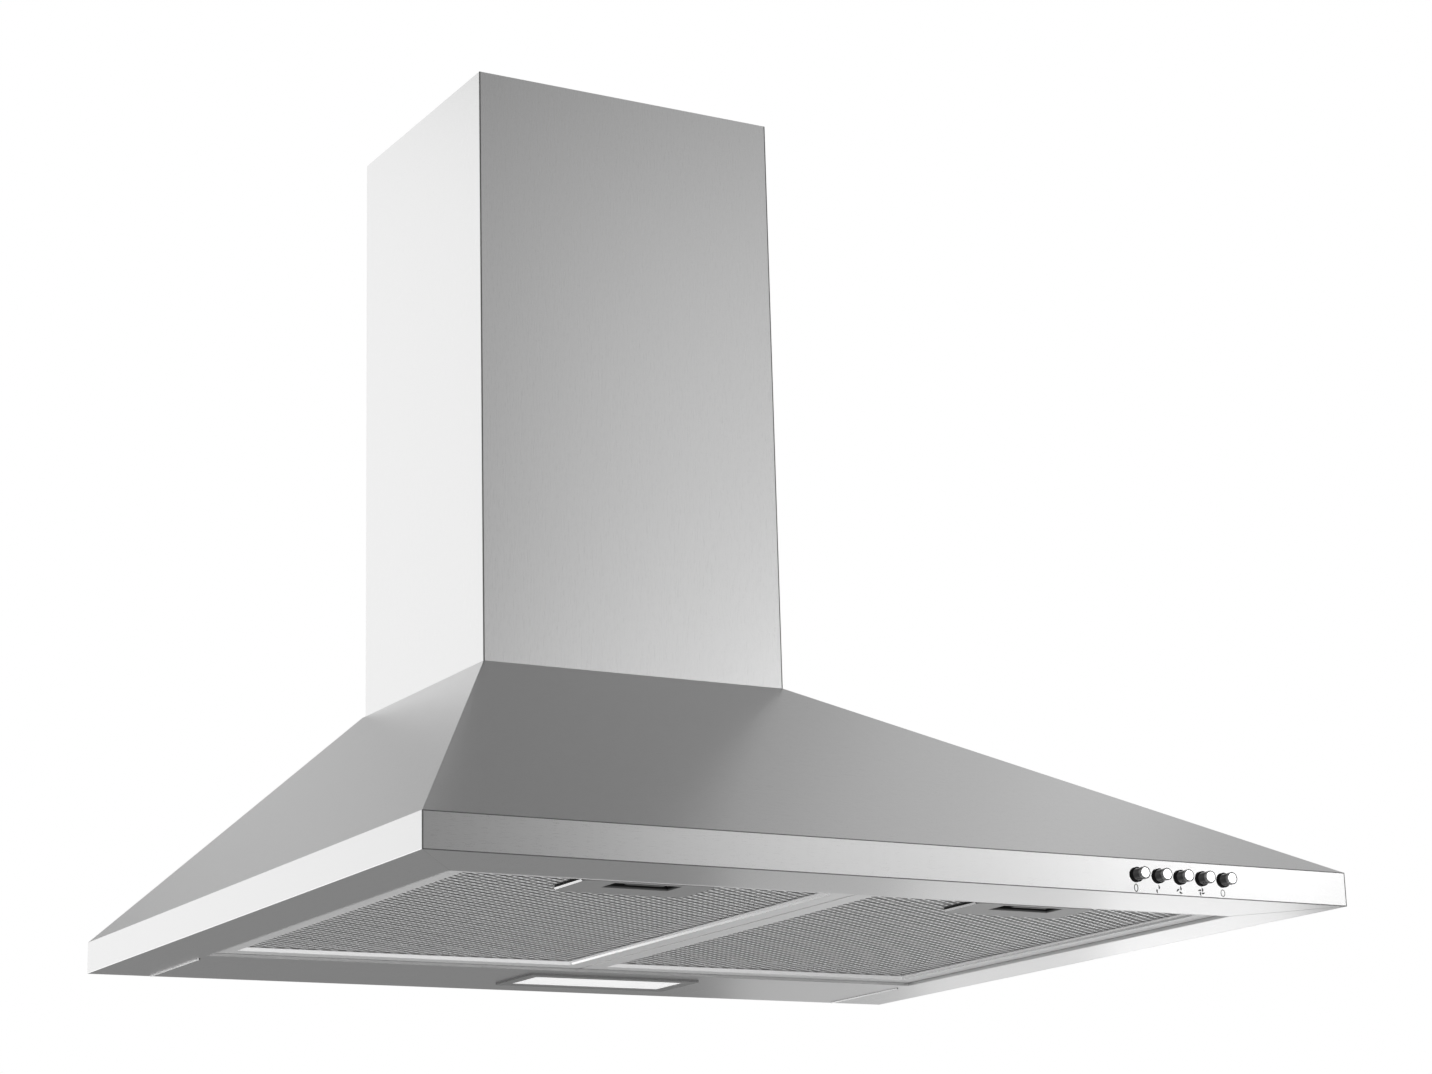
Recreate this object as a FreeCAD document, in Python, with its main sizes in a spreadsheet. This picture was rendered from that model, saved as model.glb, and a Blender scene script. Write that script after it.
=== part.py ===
import FreeCAD, Part
import math
import os
import re

import Sketcher

# Wall range hood with a pyramid canopy and a two-piece flue cover, in millimetres.
# X points right seen from the front, Y points into the wall, Z points up.
# The origin is the middle of the wall face at the level of the underside.

# Driving dimensions
SIZES = {
    # canopy
    "hood_width": 600,
    "hood_depth": 520,
    "fascia_height": 20,
    "slope_height": 162,
    "sheet": 1.0,
    "side_rim": 42,
    "front_rim": 58,
    "rear_panel_depth": 105,
    "rim_lip": 8,
    "top_rim_side": 14,
    "top_rim_end": 22,
    "wall_hole_diameter": 8,
    "wall_hole_spacing": 160,
    "wall_hole_rise": 80,
    "wall_hole_low": 50,
    # flue covers
    "flue_width": 220,
    "flue_depth": 188,
    "flue_height": 402,
    "flue_wall_gap": 6,
    "flue_nest_gap": 0.5,
    "flue_return": 15,
    "flue_top_step": 2,
    "bracket_height": 25,
    "bracket_top_gap": 8,
    "bracket_plate": 2,
    "bracket_ear": 27,
    "bracket_side_gap": 2,
    "bracket_hole_diameter": 6,
    "bracket_hole_spacing": 100,
    # grease filters
    "filter_gap": 1.0,
    "filter_rise": 2.0,
    "filter_thickness": 9.0,
    "filter_border": 15.0,
    "filter_web": 1.5,
    "filter_flange": 2.5,
    "filter_skin": 1.0,
    "filter_corner": 3.0,
    "filter_bevel": 2.0,
    "mesh_thickness": 1.0,
    "mesh_strand": 3.2,
    "hook_spacing": 140,
    "hook_width": 16,
    "hook_reach": 8,
    # filter latches
    "bowl_width": 82,
    "bowl_depth": 41,
    "bowl_wall": 1.0,
    "bowl_corner": 4.0,
    "finger_width": 42,
    "finger_depth": 17,
    "finger_setback": 4,
    "latch_width": 24,
    "latch_thickness": 1.5,
    "latch_grip": 3.0,
    "grip_setback": 3.0,
    "latch_overlap": 4.0,
    "latch_travel": 7.0,
    "latch_clearance": 0.3,
    "slide_clearance": 0.1,
    # push buttons
    "button_edge": 92.6,
    "button_pitch": 15.6,
    "button_rise": 10.6,
    "button_diameter": 6.9,
    "button_reach": 9.5,
    "button_travel": 4.0,
    "cap_diameter": 7.2,
    "cap_length": 1.6,
    "bush_diameter": 8.6,
    "bush_flange": 2.4,
    "bush_barrel": 7.9,
    "bush_length": 9.0,
    "plunger_width": 4.6,
    "plunger_length": 11.0,
    "run_clearance": 0.05,
    # switch block
    "switch_margin": 9.0,
    "switch_length": 34.0,
    "switch_height": 18.0,
    "switch_ear": 2.0,
    "switch_gap": 1.0,
    "terminal_width": 4.8,
    "terminal_thickness": 0.8,
    "terminal_length": 7.0,
    # lamp
    "lamp_offset": 37,
    "lamp_wall_distance": 60,
    "bezel_length": 128,
    "bezel_depth": 56,
    "bezel_lip": 4.0,
    "bezel_proud": 1.2,
    "bezel_height": 8.0,
    "bezel_wall": 2.0,
    "bezel_corner": 3.0,
    "lens_ledge": 2.0,
    "lens_thickness": 1.5,
    "lens_inset": 0.5,
    "lamp_can_height": 28.0,
    "lamp_can_wall": 1.0,
    "board_thickness": 1.6,
    "board_margin": 6.0,
    "chip_size": 5.0,
    "chip_height": 1.0,
    # blower
    "blower_clearance": 14.0,
    "inlet_space": 38.0,
    "blower_axis_rise": 18.0,
    "volute_step": 7.0,
    "casing_wall": 2.5,
    "outlet_neck": 19.5,
    "inlet_margin": 13.0,
    "inlet_lip": 5.0,
    "foot_height": 6.0,
    "foot_depth": 24.0,
    "foot_gap": 5.0,
    "foot_clearance": 1.5,
    "impeller_gap": 7.0,
    "impeller_side_gap": 3.5,
    "blade_depth": 13.0,
    "blade_sweep": 6.0,
    "blade_thickness": 1.2,
    "blade_edge": 0.5,
    "impeller_disc": 2.0,
    "impeller_ring": 3.0,
    "hub_diameter": 20.0,
    "hub_length": 12.0,
    "shaft_diameter": 8.0,
    "press_clearance": 0.02,
    "motor_air_gap": 16.0,
    "motor_hub_gap": 1.0,
    "motor_boss_diameter": 22.0,
    "motor_boss_length": 3.0,
    "motor_bevel": 4.0,
    "motor_end_wall": 8.0,
    "motor_plate": 2.0,
    "motor_arm_width": 14.0,
    "motor_ring_width": 8.0,
    "motor_ring_lap": 2.0,
    "nut_width": 13.0,
    "nut_length": 5.0,
    # duct outlet
    "adapter_height": 45.0,
    "adapter_wall": 2.0,
    "collar_clearance": 19.0,
    "collar_height": 45.0,
    "collar_wall": 2.0,
    "flap_rise": 15.0,
    "flap_thickness": 1.5,
    "flap_drop": 0.5,
    "flap_gap": 1.5,
    "flap_split": 4.2,
    "flap_barrel": 7.0,
    "barrel_gap": 1.0,
    "flap_stop": 3.0,
    "pin_diameter": 3.0,
    # wiring
    "wiring_x": 150,
    "wiring_low": 40,
    "wiring_width": 80,
    "wiring_height": 48,
    "wiring_depth": 38,
    "wiring_wall": 2.0,
    "gland_diameter": 16.0,
    "gland_length": 12.0,
    "gland_bore": 8.0,
    "capacitor_diameter": 30.0,
    "capacitor_length": 60.0,
    "capacitor_x": 150,
    "capacitor_z": 62,
    "clamp_width": 16.0,
    "clamp_wall": 2.0,
    # screws
    "screw_diameter": 4.0,
    "screw_head": 7.0,
    "screw_head_height": 2.8,
}

# Sizes that follow from the driving dimensions
DERIVED = {
    "half_width": "hood_width / 2",
    "canopy_top": "fascia_height + slope_height",
    "flue_front": "flue_wall_gap + flue_depth",
    "flue_middle": "flue_wall_gap + flue_depth / 2",
    "flue_top": "canopy_top + flue_height",
    "flue_inner": "flue_width / 2 - 2 * sheet - flue_nest_gap",
    "side_skin": "sheet * sqrt(slope_height ^ 2 + (half_width - flue_width / 2) ^ 2) / slope_height",
    "front_skin": "sheet * sqrt(slope_height ^ 2 + (hood_depth - flue_front) ^ 2) / slope_height",
    "open_half": "half_width - side_rim",
    "open_front": "hood_depth - front_rim",
    "filter_width": "open_half - 1.5 * filter_gap",
    "filter_pitch": "filter_width + filter_gap",
    "filter_front": "open_front - filter_gap",
    "filter_back": "rear_panel_depth + filter_gap",
    "filter_top": "filter_rise + filter_thickness",
    "mesh_low": "filter_rise + filter_flange",
    "bowl_front": "filter_front - filter_border",
    "finger_front": "bowl_front - finger_setback",
    "latch_low": "rim_lip + latch_clearance",
    "bowl_top": "latch_low - slide_clearance",
    "grip_front": "finger_front - grip_setback",
    "bush_back": "hood_depth - bush_length",
    "switch_front": "bush_back - button_travel - switch_gap",
    "switch_back": "switch_front - switch_length",
    "last_button": "half_width - button_edge",
    "first_button": "last_button - 4 * button_pitch",
    "axis_z": "canopy_top + blower_axis_rise",
    "volute_radius": "flue_inner - blower_clearance - volute_step / 2",
    "casing_half": "flue_depth / 2 - inlet_space",
    "casing_front": "flue_middle + casing_half",
    "casing_back": "flue_middle - casing_half",
    "impeller_radius": "volute_radius - 2.5 * volute_step - casing_wall - impeller_gap",
    "blade_inner": "impeller_radius - blade_depth",
    "inlet_radius": "impeller_radius - inlet_margin",
    "impeller_front": "casing_front - casing_wall - impeller_side_gap",
    "motor_radius": "blade_inner - motor_air_gap",
    "hub_back": "flue_middle - impeller_disc / 2",
    "motor_front": "hub_back - motor_hub_gap - motor_boss_length",
    "outlet_z": "axis_z + volute_radius - 2.5 * volute_step + outlet_neck",
    "outlet_left": "-volute_step / 2",
    "outlet_right": "volute_radius + volute_step / 2",
    "collar_low": "outlet_z + adapter_height",
    "collar_radius": "flue_depth / 2 - collar_clearance",
    "flap_axis": "collar_low + flap_rise",
    "flap_radius": "collar_radius - collar_wall - flap_gap",
}

BUTTONS = ("off", "speed_one", "speed_two", "speed_three", "light")
BUTTON_COUNT = len(BUTTONS)
SIDES = {"left": -1, "right": 1}
MESH_COLUMNS = 6
MESH_ROWS = 11
BLADE_COUNT = 28
BLADE_BEND = 0.3
MOTOR_ARMS = 3
ADAPTER_STRIPS = 24
BARREL_REACH = 0.8
LED_COUNT = 6
TERMINAL_COUNT = 6
CUT_MARGIN = "1"

DOC = FreeCAD.newDocument("range_hood")
SHEET = DOC.addObject("Spreadsheet::Sheet", "Sizes")
PARTS = {}


# Spreadsheet and formulas

def fill_sheet():
    rows = [(alias, str(value)) for alias, value in SIZES.items()]
    rows += [(alias, "=" + text) for alias, text in DERIVED.items()]
    for row, (alias, content) in enumerate(rows, start=1):
        SHEET.set(f"A{row}", alias)
        SHEET.set(f"B{row}", content)
        SHEET.setAlias(f"B{row}", alias)
    DOC.recompute()


def formula(text):
    """Formula text with each size's alias pointed at the spreadsheet."""
    def link(match):
        word = match.group(0)
        return f"Sizes.{word}" if word in SIZES or word in DERIVED else word
    return re.sub(r"[a-z_][a-z_0-9]*", link, str(text))


def number(alias):
    return float(SHEET.get(alias))


def bind(target, **formulas):
    for path, text in formulas.items():
        target.setExpression(path.replace("__", "."), formula(text))
    return target


def keep(label, piece):
    """Names a finished sub-part, which becomes one node."""
    piece.Label = label
    PARTS[label] = piece
    return piece


# Part primitives and booleans

def block(name, x, y, z):
    """Box between pairs of formulas along X, Y and Z."""
    piece = DOC.addObject("Part::Box", name)
    for path, (low, high) in zip(("Length", "Width", "Height"), (x, y, z)):
        piece.setExpression(path, formula(f"({high}) - ({low})"))
    for axis, (low, high) in zip("xyz", (x, y, z)):
        piece.setExpression(f"Placement.Base.{axis}", formula(low))
    return piece


def rod(name, axis, at, length, radius):
    """Cylinder that starts at a point and runs along +X, -Y or +Z."""
    turns = {"x": (0, 1, 0, 90), "y": (1, 0, 0, 90), "z": (0, 0, 1, 0)}
    piece = DOC.addObject("Part::Cylinder", name)
    ax, ay, az, angle = turns[axis]
    piece.Placement.Rotation = FreeCAD.Rotation(FreeCAD.Vector(ax, ay, az), angle)
    bind(piece, Radius=radius, Height=length)
    for letter, text in zip("xyz", at):
        piece.setExpression(f"Placement.Base.{letter}", formula(text))
    return piece


def fuse(name, pieces):
    joined = DOC.addObject("Part::MultiFuse", name)
    joined.Shapes = pieces
    joined.Refine = True
    return joined


def cut(name, base, tools):
    result = DOC.addObject("Part::Cut", name)
    result.Base = base
    result.Tool = tools[0] if len(tools) == 1 else fuse(name + "_tools", tools)
    result.Refine = True
    return result


def group(name, pieces):
    bundle = DOC.addObject("Part::Compound", name)
    bundle.Links = pieces
    return bundle


# Sketches

def place(sketch, geometry, point, x, y, start=(1.0, 1.0)):
    """Ties a point to two formulas; the start is where the point lies while the sketch is drawn."""
    for kind, text, value in zip(("DistanceX", "DistanceY"), (x, y), start):
        index = sketch.addConstraint(Sketcher.Constraint(kind, -1, 1, geometry, point, value))
        sketch.setExpression(f"Constraints[{index}]", formula(text))


def polygon(*corners):
    """Closed outline through corners given as pairs of formulas."""
    def draw(sketch):
        first = sketch.GeometryCount
        count = len(corners)
        ring = [2 * math.pi * i / count for i in range(count + 1)]
        spots = [FreeCAD.Vector(math.cos(angle), math.sin(angle), 0) for angle in ring]
        for start, end in zip(spots, spots[1:]):
            sketch.addGeometry(Part.LineSegment(start, end), False)
        for i in range(count):
            following = first + (i + 1) % count
            sketch.addConstraint(Sketcher.Constraint("Coincident", first + i, 2, following, 1))
        for i, (x, y) in enumerate(corners):
            place(sketch, first + i, 1, x, y)
    return draw


def rectangle(x, y):
    (x0, x1), (y0, y1) = x, y
    return polygon((x0, y0), (x1, y0), (x1, y1), (x0, y1))


def hexagon(x, y, width):
    """Six-sided outline about a point, with its flats across X."""
    flat = f"{width} / 2"
    corner = f"{width} / sqrt(3)"
    return polygon((x, f"{y} + {corner}"), (f"{x} + {flat}", f"{y} + {corner} / 2"),
                   (f"{x} + {flat}", f"{y} - {corner} / 2"), (x, f"{y} - {corner}"),
                   (f"{x} - {flat}", f"{y} - {corner} / 2"), (f"{x} - {flat}", f"{y} + {corner} / 2"))


def circle(x, y, radius):
    def draw(sketch):
        ring = Part.Circle(FreeCAD.Vector(0, 0, 0), FreeCAD.Vector(0, 0, 1), 1)
        index = sketch.addGeometry(ring, False)
        place(sketch, index, 3, x, y)
        size = sketch.addConstraint(Sketcher.Constraint("Radius", index, 1.0))
        sketch.setExpression(f"Constraints[{size}]", formula(radius))
    return draw


def both(*drawings):
    def draw(sketch):
        for drawing in drawings:
            drawing(sketch)
    return draw


def new_body(name):
    return DOC.addObject("PartDesign::Body", name)


def new_sketch(body, role, offset, draw):
    plane = next(item for item in body.Origin.OriginFeatures if item.Role == role)
    sketch = body.newObject("Sketcher::SketchObject", body.Name + "_sketch")
    sketch.AttachmentSupport = [(plane, "")]
    sketch.MapMode = "FlatFace"
    sketch.setExpression("AttachmentOffset.Base.z", formula(offset))
    draw(sketch)
    return sketch


def pad(body, role, start, end, draw):
    """Adds a profile between two distances along its plane's normal."""
    sketch = new_sketch(body, role, start, draw)
    feature = body.newObject("PartDesign::Pad", body.Name + "_pad")
    feature.Profile = sketch
    feature.setExpression("Length", formula(f"({end}) - ({start})"))
    DOC.recompute()
    return feature


def pocket(body, role, start, end, draw):
    """Removes a profile between two distances along its plane's normal."""
    before = body.Shape.Volume
    sketch = new_sketch(body, role, start, draw)
    feature = body.newObject("PartDesign::Pocket", body.Name + "_pocket")
    feature.Profile = sketch
    feature.setExpression("Length", formula(f"({end}) - ({start})"))
    feature.Reversed = True
    DOC.recompute()
    if body.Shape.Volume >= before:
        raise RuntimeError(f"{body.Name}: a pocket removed nothing")
    return feature


def turn(body, draw):
    """Revolves a profile of radius and height about the body's own Y axis."""
    sketch = new_sketch(body, "XY_Plane", "0", draw)
    feature = body.newObject("PartDesign::Revolution", body.Name + "_turn")
    feature.Profile = sketch
    feature.ReferenceAxis = (sketch, ["V_Axis"])
    feature.Angle = 360
    DOC.recompute()
    return feature


def round_edges(body, radius, chosen):
    """Rounds the edges of the body's last feature that the test picks out."""
    base = body.Tip
    edges = [f"Edge{i}" for i, edge in enumerate(base.Shape.Edges, start=1) if chosen(edge)]
    feature = body.newObject("PartDesign::Fillet", body.Name + "_fillet")
    feature.Base = (base, edges)
    feature.setExpression("Radius", formula(radius))
    DOC.recompute()
    return feature


def upright(edge):
    """True for a straight edge along Z."""
    if len(edge.Vertexes) != 2:
        return False
    span = edge.Vertexes[1].Point - edge.Vertexes[0].Point
    return math.hypot(span.x, span.y) < 1e-6


def at_corner(body):
    """Test for upright edges at the corners of the body's outline."""
    box = body.Shape.BoundBox

    def chosen(edge):
        spot = edge.Vertexes[0].Point
        on_x = min(abs(spot.x - box.XMin), abs(spot.x - box.XMax)) < 1e-6
        on_y = min(abs(spot.y - box.YMin), abs(spot.y - box.YMax)) < 1e-6
        return upright(edge) and on_x and on_y
    return chosen


def put(body, x="0", y="0", z="0"):
    return bind(body, Placement__Base__x=x, Placement__Base__y=y, Placement__Base__z=z)


# Canopy

def frustum(name, side, front, low, high):
    """Pyramid with an upright back, given how far its side and front skins lie inside the outer ones."""
    wedge = DOC.addObject("Part::Wedge", name)
    wedge.Placement.Rotation = FreeCAD.Rotation(FreeCAD.Vector(1, 0, 0), 90)
    bind(wedge, Xmin=f"-(half_width - {side})", Xmax=f"half_width - {side}", Ymin=low, Ymax=high,
         Zmin="0", Zmax=f"hood_depth - {front}", X2min=f"-(flue_width / 2 - {side})",
         X2max=f"flue_width / 2 - {side}", Z2min="0", Z2max=f"flue_front - {front}")
    return wedge


def canopy_volume(name, side, front, skin):
    fascia = block(name + "_fascia", (f"-(half_width - {skin})", f"half_width - {skin}"),
                   (f"-(hood_depth - {skin})", "0"), ("0", "fascia_height"))
    slope = frustum(name + "_slope", side, front, "fascia_height", "canopy_top")
    return fuse(name, [fascia, slope])


def canopy():
    outside = canopy_volume("canopy_outside", "0", "0", "0")
    inside = canopy_volume("canopy_inside", "side_skin", "front_skin", "sheet")
    skin = cut("canopy_skin", outside, [inside])
    rim_plate = block("rim_plate", ("-half_width", "half_width"), ("-hood_depth", "0"), ("0", "sheet"))
    lip_block = block("lip_block", ("-(open_half + sheet)", "open_half + sheet"),
                      ("-(open_front + sheet)", "-sheet"), ("0", "rim_lip"))
    opening = block("rim_opening", ("-open_half", "open_half"), ("-open_front", CUT_MARGIN),
                    ("-" + CUT_MARGIN, "rim_lip + " + CUT_MARGIN))
    rim = cut("rim", fuse("rim_stock", [rim_plate, lip_block]), [opening])
    top_plate = block("top_plate", ("-flue_width / 2", "flue_width / 2"), ("-flue_front", "0"),
                      ("canopy_top - sheet", "canopy_top"))
    top_hole = block("top_hole", ("-(flue_width / 2 - top_rim_side)", "flue_width / 2 - top_rim_side"),
                     ("-(flue_front - top_rim_end)", "-top_rim_end"),
                     ("canopy_top - 2 * sheet", "canopy_top + " + CUT_MARGIN))
    top = cut("top_rim", top_plate, [top_hole])
    holes = [rod(f"button_hole_{i}", "y", (f"first_button + {i} * button_pitch", "-(hood_depth - 2 * sheet)",
                                           "button_rise"), "3 * sheet", "bush_barrel / 2 + run_clearance")
             for i in range(BUTTON_COUNT)]
    holes += [rod(f"rim_screw_hole_{i}_{k}", "z", (*foot_screw_place(i, k), "canopy_top - 2 * sheet"), "3 * sheet",
                  "screw_diameter / 2 + run_clearance") for i in (-1, 1) for k in (-1, 1)]
    keep("canopy_shell", cut("canopy", fuse("canopy_folded", [skin, rim, top]), holes))

    slab = block("back_slab", ("-half_width", "half_width"), ("-sheet", "0"), ("sheet", "canopy_top - sheet"))
    plate = DOC.addObject("Part::Common", "back_plate")
    plate.Base = inside
    plate.Tool = slab
    wall_holes = [rod(f"wall_hole_{i}_{k}", "y", (f"{i} * wall_hole_spacing / 2", "sheet",
                                                  f"wall_hole_low + {k} * wall_hole_rise"),
                      "3 * sheet", "wall_hole_diameter / 2") for i in (-1, 1) for k in (0, 1)]
    keep("canopy_back_panel", cut("back_panel", plate, wall_holes))


def lamp_panel():
    body = new_body("lamp_panel_body")
    pad(body, "XY_Plane", "0", "rim_lip", rectangle(("-open_half", "open_half"), ("-rear_panel_depth", "0")))
    pocket(body, "XY_Plane", "sheet", "rim_lip + " + CUT_MARGIN,
           rectangle(("-(open_half - sheet)", "open_half - sheet"), ("-(rear_panel_depth - sheet)", CUT_MARGIN)))
    pocket(body, "XY_Plane", "sheet", "rim_lip + " + CUT_MARGIN,
           rectangle(("-(open_half + sheet)", "open_half + sheet"), ("-sheet", CUT_MARGIN)))
    pocket(body, "XY_Plane", "-" + CUT_MARGIN, "2 * sheet", lamp_rectangle("bezel_lip"))
    keep("lamp_panel", body)


# Lamp

def lamp_rectangle(inset):
    return rectangle((f"lamp_offset - bezel_length / 2 + {inset}", f"lamp_offset + bezel_length / 2 - ({inset})"),
                     (f"-lamp_wall_distance - bezel_depth / 2 + {inset}",
                      f"-lamp_wall_distance + bezel_depth / 2 - ({inset})"))


def lamp():
    seat = "bezel_lip + slide_clearance + bezel_wall"
    window = f"{seat} + lens_ledge"
    bezel = new_body("lamp_bezel_body")
    pad(bezel, "XY_Plane", "-bezel_proud", "0", lamp_rectangle("0"))
    round_edges(bezel, "bezel_corner", at_corner(bezel))
    pad(bezel, "XY_Plane", "0", "bezel_height", lamp_rectangle("bezel_lip + slide_clearance"))
    pocket(bezel, "XY_Plane", "0", "bezel_height + " + CUT_MARGIN, lamp_rectangle(seat))
    pocket(bezel, "XY_Plane", "-bezel_proud - " + CUT_MARGIN, CUT_MARGIN, lamp_rectangle(window))
    keep("lamp_bezel", bezel)

    lens = new_body("lamp_lens_body")
    pad(lens, "XY_Plane", "0", "lens_thickness", lamp_rectangle(seat + " + slide_clearance"))
    pad(lens, "XY_Plane", "-(bezel_proud - lens_inset)", "0", lamp_rectangle(window + " + slide_clearance"))
    keep("lamp_lens", lens)

    can = new_body("lamp_housing_body")
    top = "lens_thickness + lamp_can_height"
    pad(can, "XY_Plane", "lens_thickness", top, lamp_rectangle(seat + " + slide_clearance"))
    pocket(can, "XY_Plane", "lens_thickness - " + CUT_MARGIN, top + " - lamp_can_wall",
           lamp_rectangle(seat + " + slide_clearance + lamp_can_wall"))
    keep("lamp_housing", can)

    board_low = f"{top} - lamp_can_wall - board_thickness"
    board = new_body("led_board_body")
    pad(board, "XY_Plane", board_low, f"{top} - lamp_can_wall", lamp_rectangle(window + " + board_margin"))
    keep("led_board", board)
    step = f"(bezel_length - 2 * ({window} + board_margin)) / {LED_COUNT}"
    chips = []
    for i in range(LED_COUNT):
        middle = f"lamp_offset + ({i} - {(LED_COUNT - 1) / 2}) * {step}"
        chips.append(block(f"led_chip_{i}", (f"{middle} - chip_size / 2", f"{middle} + chip_size / 2"),
                           ("-lamp_wall_distance - chip_size / 2", "-lamp_wall_distance + chip_size / 2"),
                           (f"{board_low} - chip_height", board_low)))
    keep("led_chips", group("led_chip_group", chips))


# Grease filters

def filter_frame(side, sign):
    """Channel frame with a chamfered lower flange, two rear hooks and a slot for the latch tongue."""
    middle = f"({sign} * filter_pitch / 2)"
    body = new_body(f"filter_frame_{side}_body")

    def rim(inset):
        return rectangle((f"{middle} - filter_width / 2 + {inset}", f"{middle} + filter_width / 2 - {inset}"),
                         (f"-(filter_front - {inset})", f"-(filter_back + {inset})"))
    pad(body, "XY_Plane", "filter_rise", "filter_top", rim("0"))
    round_edges(body, "filter_corner", at_corner(body))
    pocket(body, "XY_Plane", "mesh_low", "filter_top - filter_skin", rim("filter_web"))
    pocket(body, "XY_Plane", "filter_rise - " + CUT_MARGIN, "filter_top + " + CUT_MARGIN, rim("filter_border"))
    level = number("filter_rise")
    inner = [f"Edge{i}" for i, edge in enumerate(body.Shape.Edges, start=1)
             if is_inner_lower_edge(edge, level, middle_value(sign))]
    base = body.Tip
    bevel = body.newObject("PartDesign::Chamfer", body.Name + "_bevel")
    bevel.Base = (base, inner)
    bevel.setExpression("Size", formula("filter_bevel"))
    DOC.recompute()
    for hook in (-1, 1):
        spot = f"{middle} + {hook} * hook_spacing / 2"
        pad(body, "XY_Plane", "latch_low", "latch_low + latch_thickness",
            rectangle((f"{spot} - hook_width / 2", f"{spot} + hook_width / 2"),
                      ("-(filter_back + filter_web)", "-(filter_back - hook_reach)")))
    tongue = "(latch_width / 2 + slide_clearance)"
    pocket(body, "XZ_Plane", "filter_front - 2 * filter_web", "filter_front + " + CUT_MARGIN,
           rectangle((f"{middle} - {tongue}", f"{middle} + {tongue}"),
                     ("latch_low - slide_clearance", "latch_low + latch_thickness + slide_clearance")))
    keep(f"filter_frame_{side}", body)


def middle_value(sign):
    return sign * number("filter_pitch") / 2


def is_inner_lower_edge(edge, level, middle):
    half = number("filter_width") / 2 - number("filter_border")
    front = -(number("filter_front") - number("filter_border"))
    back = -(number("filter_back") + number("filter_border"))
    for vertex in edge.Vertexes:
        spot = vertex.Point
        inside = abs(abs(spot.x - middle) - half) < 1e-4
        inside = inside and min(abs(spot.y - front), abs(spot.y - back)) < 1e-4
        if abs(spot.z - level) > 1e-4 or not inside:
            return False
    return True


def filter_mesh(side, sign):
    """Expanded sheet: one face with a staggered field of diamond gaps and a window for the latch bowl."""
    middle = middle_value(sign)
    web = number("filter_web") + number("slide_clearance")
    border = number("filter_border")
    half = number("filter_width") / 2
    x0, x1 = middle - half, middle + half
    y0, y1 = -number("filter_front"), -number("filter_back")
    low = number("mesh_low")

    def wire(points):
        corners = [FreeCAD.Vector(x, y, low) for x, y in points]
        return Part.makePolygon(corners + corners[:1])

    def frame(left, right, front, back):
        return wire([(left, front), (right, front), (right, back), (left, back)])
    window_half = number("finger_width") / 2 + number("bowl_wall") + number("slide_clearance")
    window_front = -(number("bowl_front") + number("filter_border") - web)
    window_back = -(number("bowl_front") - number("bowl_depth"))
    field_x = x1 - x0 - 2 * border
    field_y = y1 - y0 - 2 * border
    pitch_x = field_x / MESH_COLUMNS
    pitch_y = field_y / MESH_ROWS
    strand = number("mesh_strand")
    gaps = []
    for row in range(2 * MESH_ROWS - 1):
        shift = row % 2
        centre_y = y0 + border + (row + 1) * pitch_y / 2
        for column in range(MESH_COLUMNS - shift):
            centre_x = x0 + border + (column + (1 + shift) / 2) * pitch_x
            wide = pitch_x / 2 - strand
            deep = pitch_y / 2 - strand / 2
            near_bowl = abs(centre_x - middle) < number("bowl_width") / 2 + wide
            if near_bowl and centre_y - deep < window_back + strand:
                continue
            gaps.append(wire([(centre_x - wide, centre_y), (centre_x, centre_y - deep),
                              (centre_x + wide, centre_y), (centre_x, centre_y + deep)]))
    window = frame(middle - window_half, middle + window_half, window_front + strand, window_back)
    outline = frame(x0 + web, x1 - web, y0 + web, y1 - web)
    sheet = Part.makeFace([outline, window] + gaps, "Part::FaceMakerBullseye")
    piece = DOC.addObject("Part::Feature", f"filter_mesh_{side}_net")
    piece.Shape = sheet.extrude(FreeCAD.Vector(0, 0, number("mesh_thickness")))
    keep(f"filter_mesh_{side}", piece)


def latch(side, sign):
    """Handle bowl with a finger recess, and the sliding tongue that holds the filter's front edge up."""
    middle = f"({sign} * filter_pitch / 2)"

    def across(half):
        return (f"{middle} - ({half})", f"{middle} + ({half})")
    bowl = new_body(f"latch_bowl_{side}_body")
    pad(bowl, "XY_Plane", "filter_rise", "mesh_low",
        rectangle(across("bowl_width / 2"), ("-bowl_front", "-(bowl_front - bowl_depth)")))
    round_edges(bowl, "bowl_corner", at_corner(bowl))
    cup = rectangle(across("finger_width / 2 + bowl_wall"),
                    ("-(finger_front + bowl_wall)", "-(finger_front - finger_depth - bowl_wall)"))
    pad(bowl, "XY_Plane", "mesh_low", "bowl_top", cup)
    pocket(bowl, "XY_Plane", "filter_rise - " + CUT_MARGIN, "bowl_top - bowl_wall",
           rectangle(across("finger_width / 2"), ("-finger_front", "-(finger_front - finger_depth)")))
    slot_back = "-(grip_front - latch_grip - latch_travel - slide_clearance)"
    grip_half = "latch_width / 2"
    pocket(bowl, "XY_Plane", "bowl_top - 2 * bowl_wall", "bowl_top + " + CUT_MARGIN,
           rectangle(across(grip_half + " + slide_clearance"), ("-(grip_front + slide_clearance)", slot_back)))
    keep(f"latch_bowl_{side}", bowl)

    slider = new_body(f"latch_slider_{side}_body")
    tip = "open_front + sheet + latch_overlap"
    pad(slider, "XY_Plane", "latch_low", "latch_low + latch_thickness",
        rectangle(across(grip_half), (f"-({tip})", "-(grip_front - latch_grip)")))
    pad(slider, "XY_Plane", "filter_rise + latch_clearance", "latch_low",
        rectangle(across(grip_half), ("-grip_front", "-(grip_front - latch_grip)")))
    keep(f"latch_slider_{side}", slider)


# Push buttons

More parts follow.
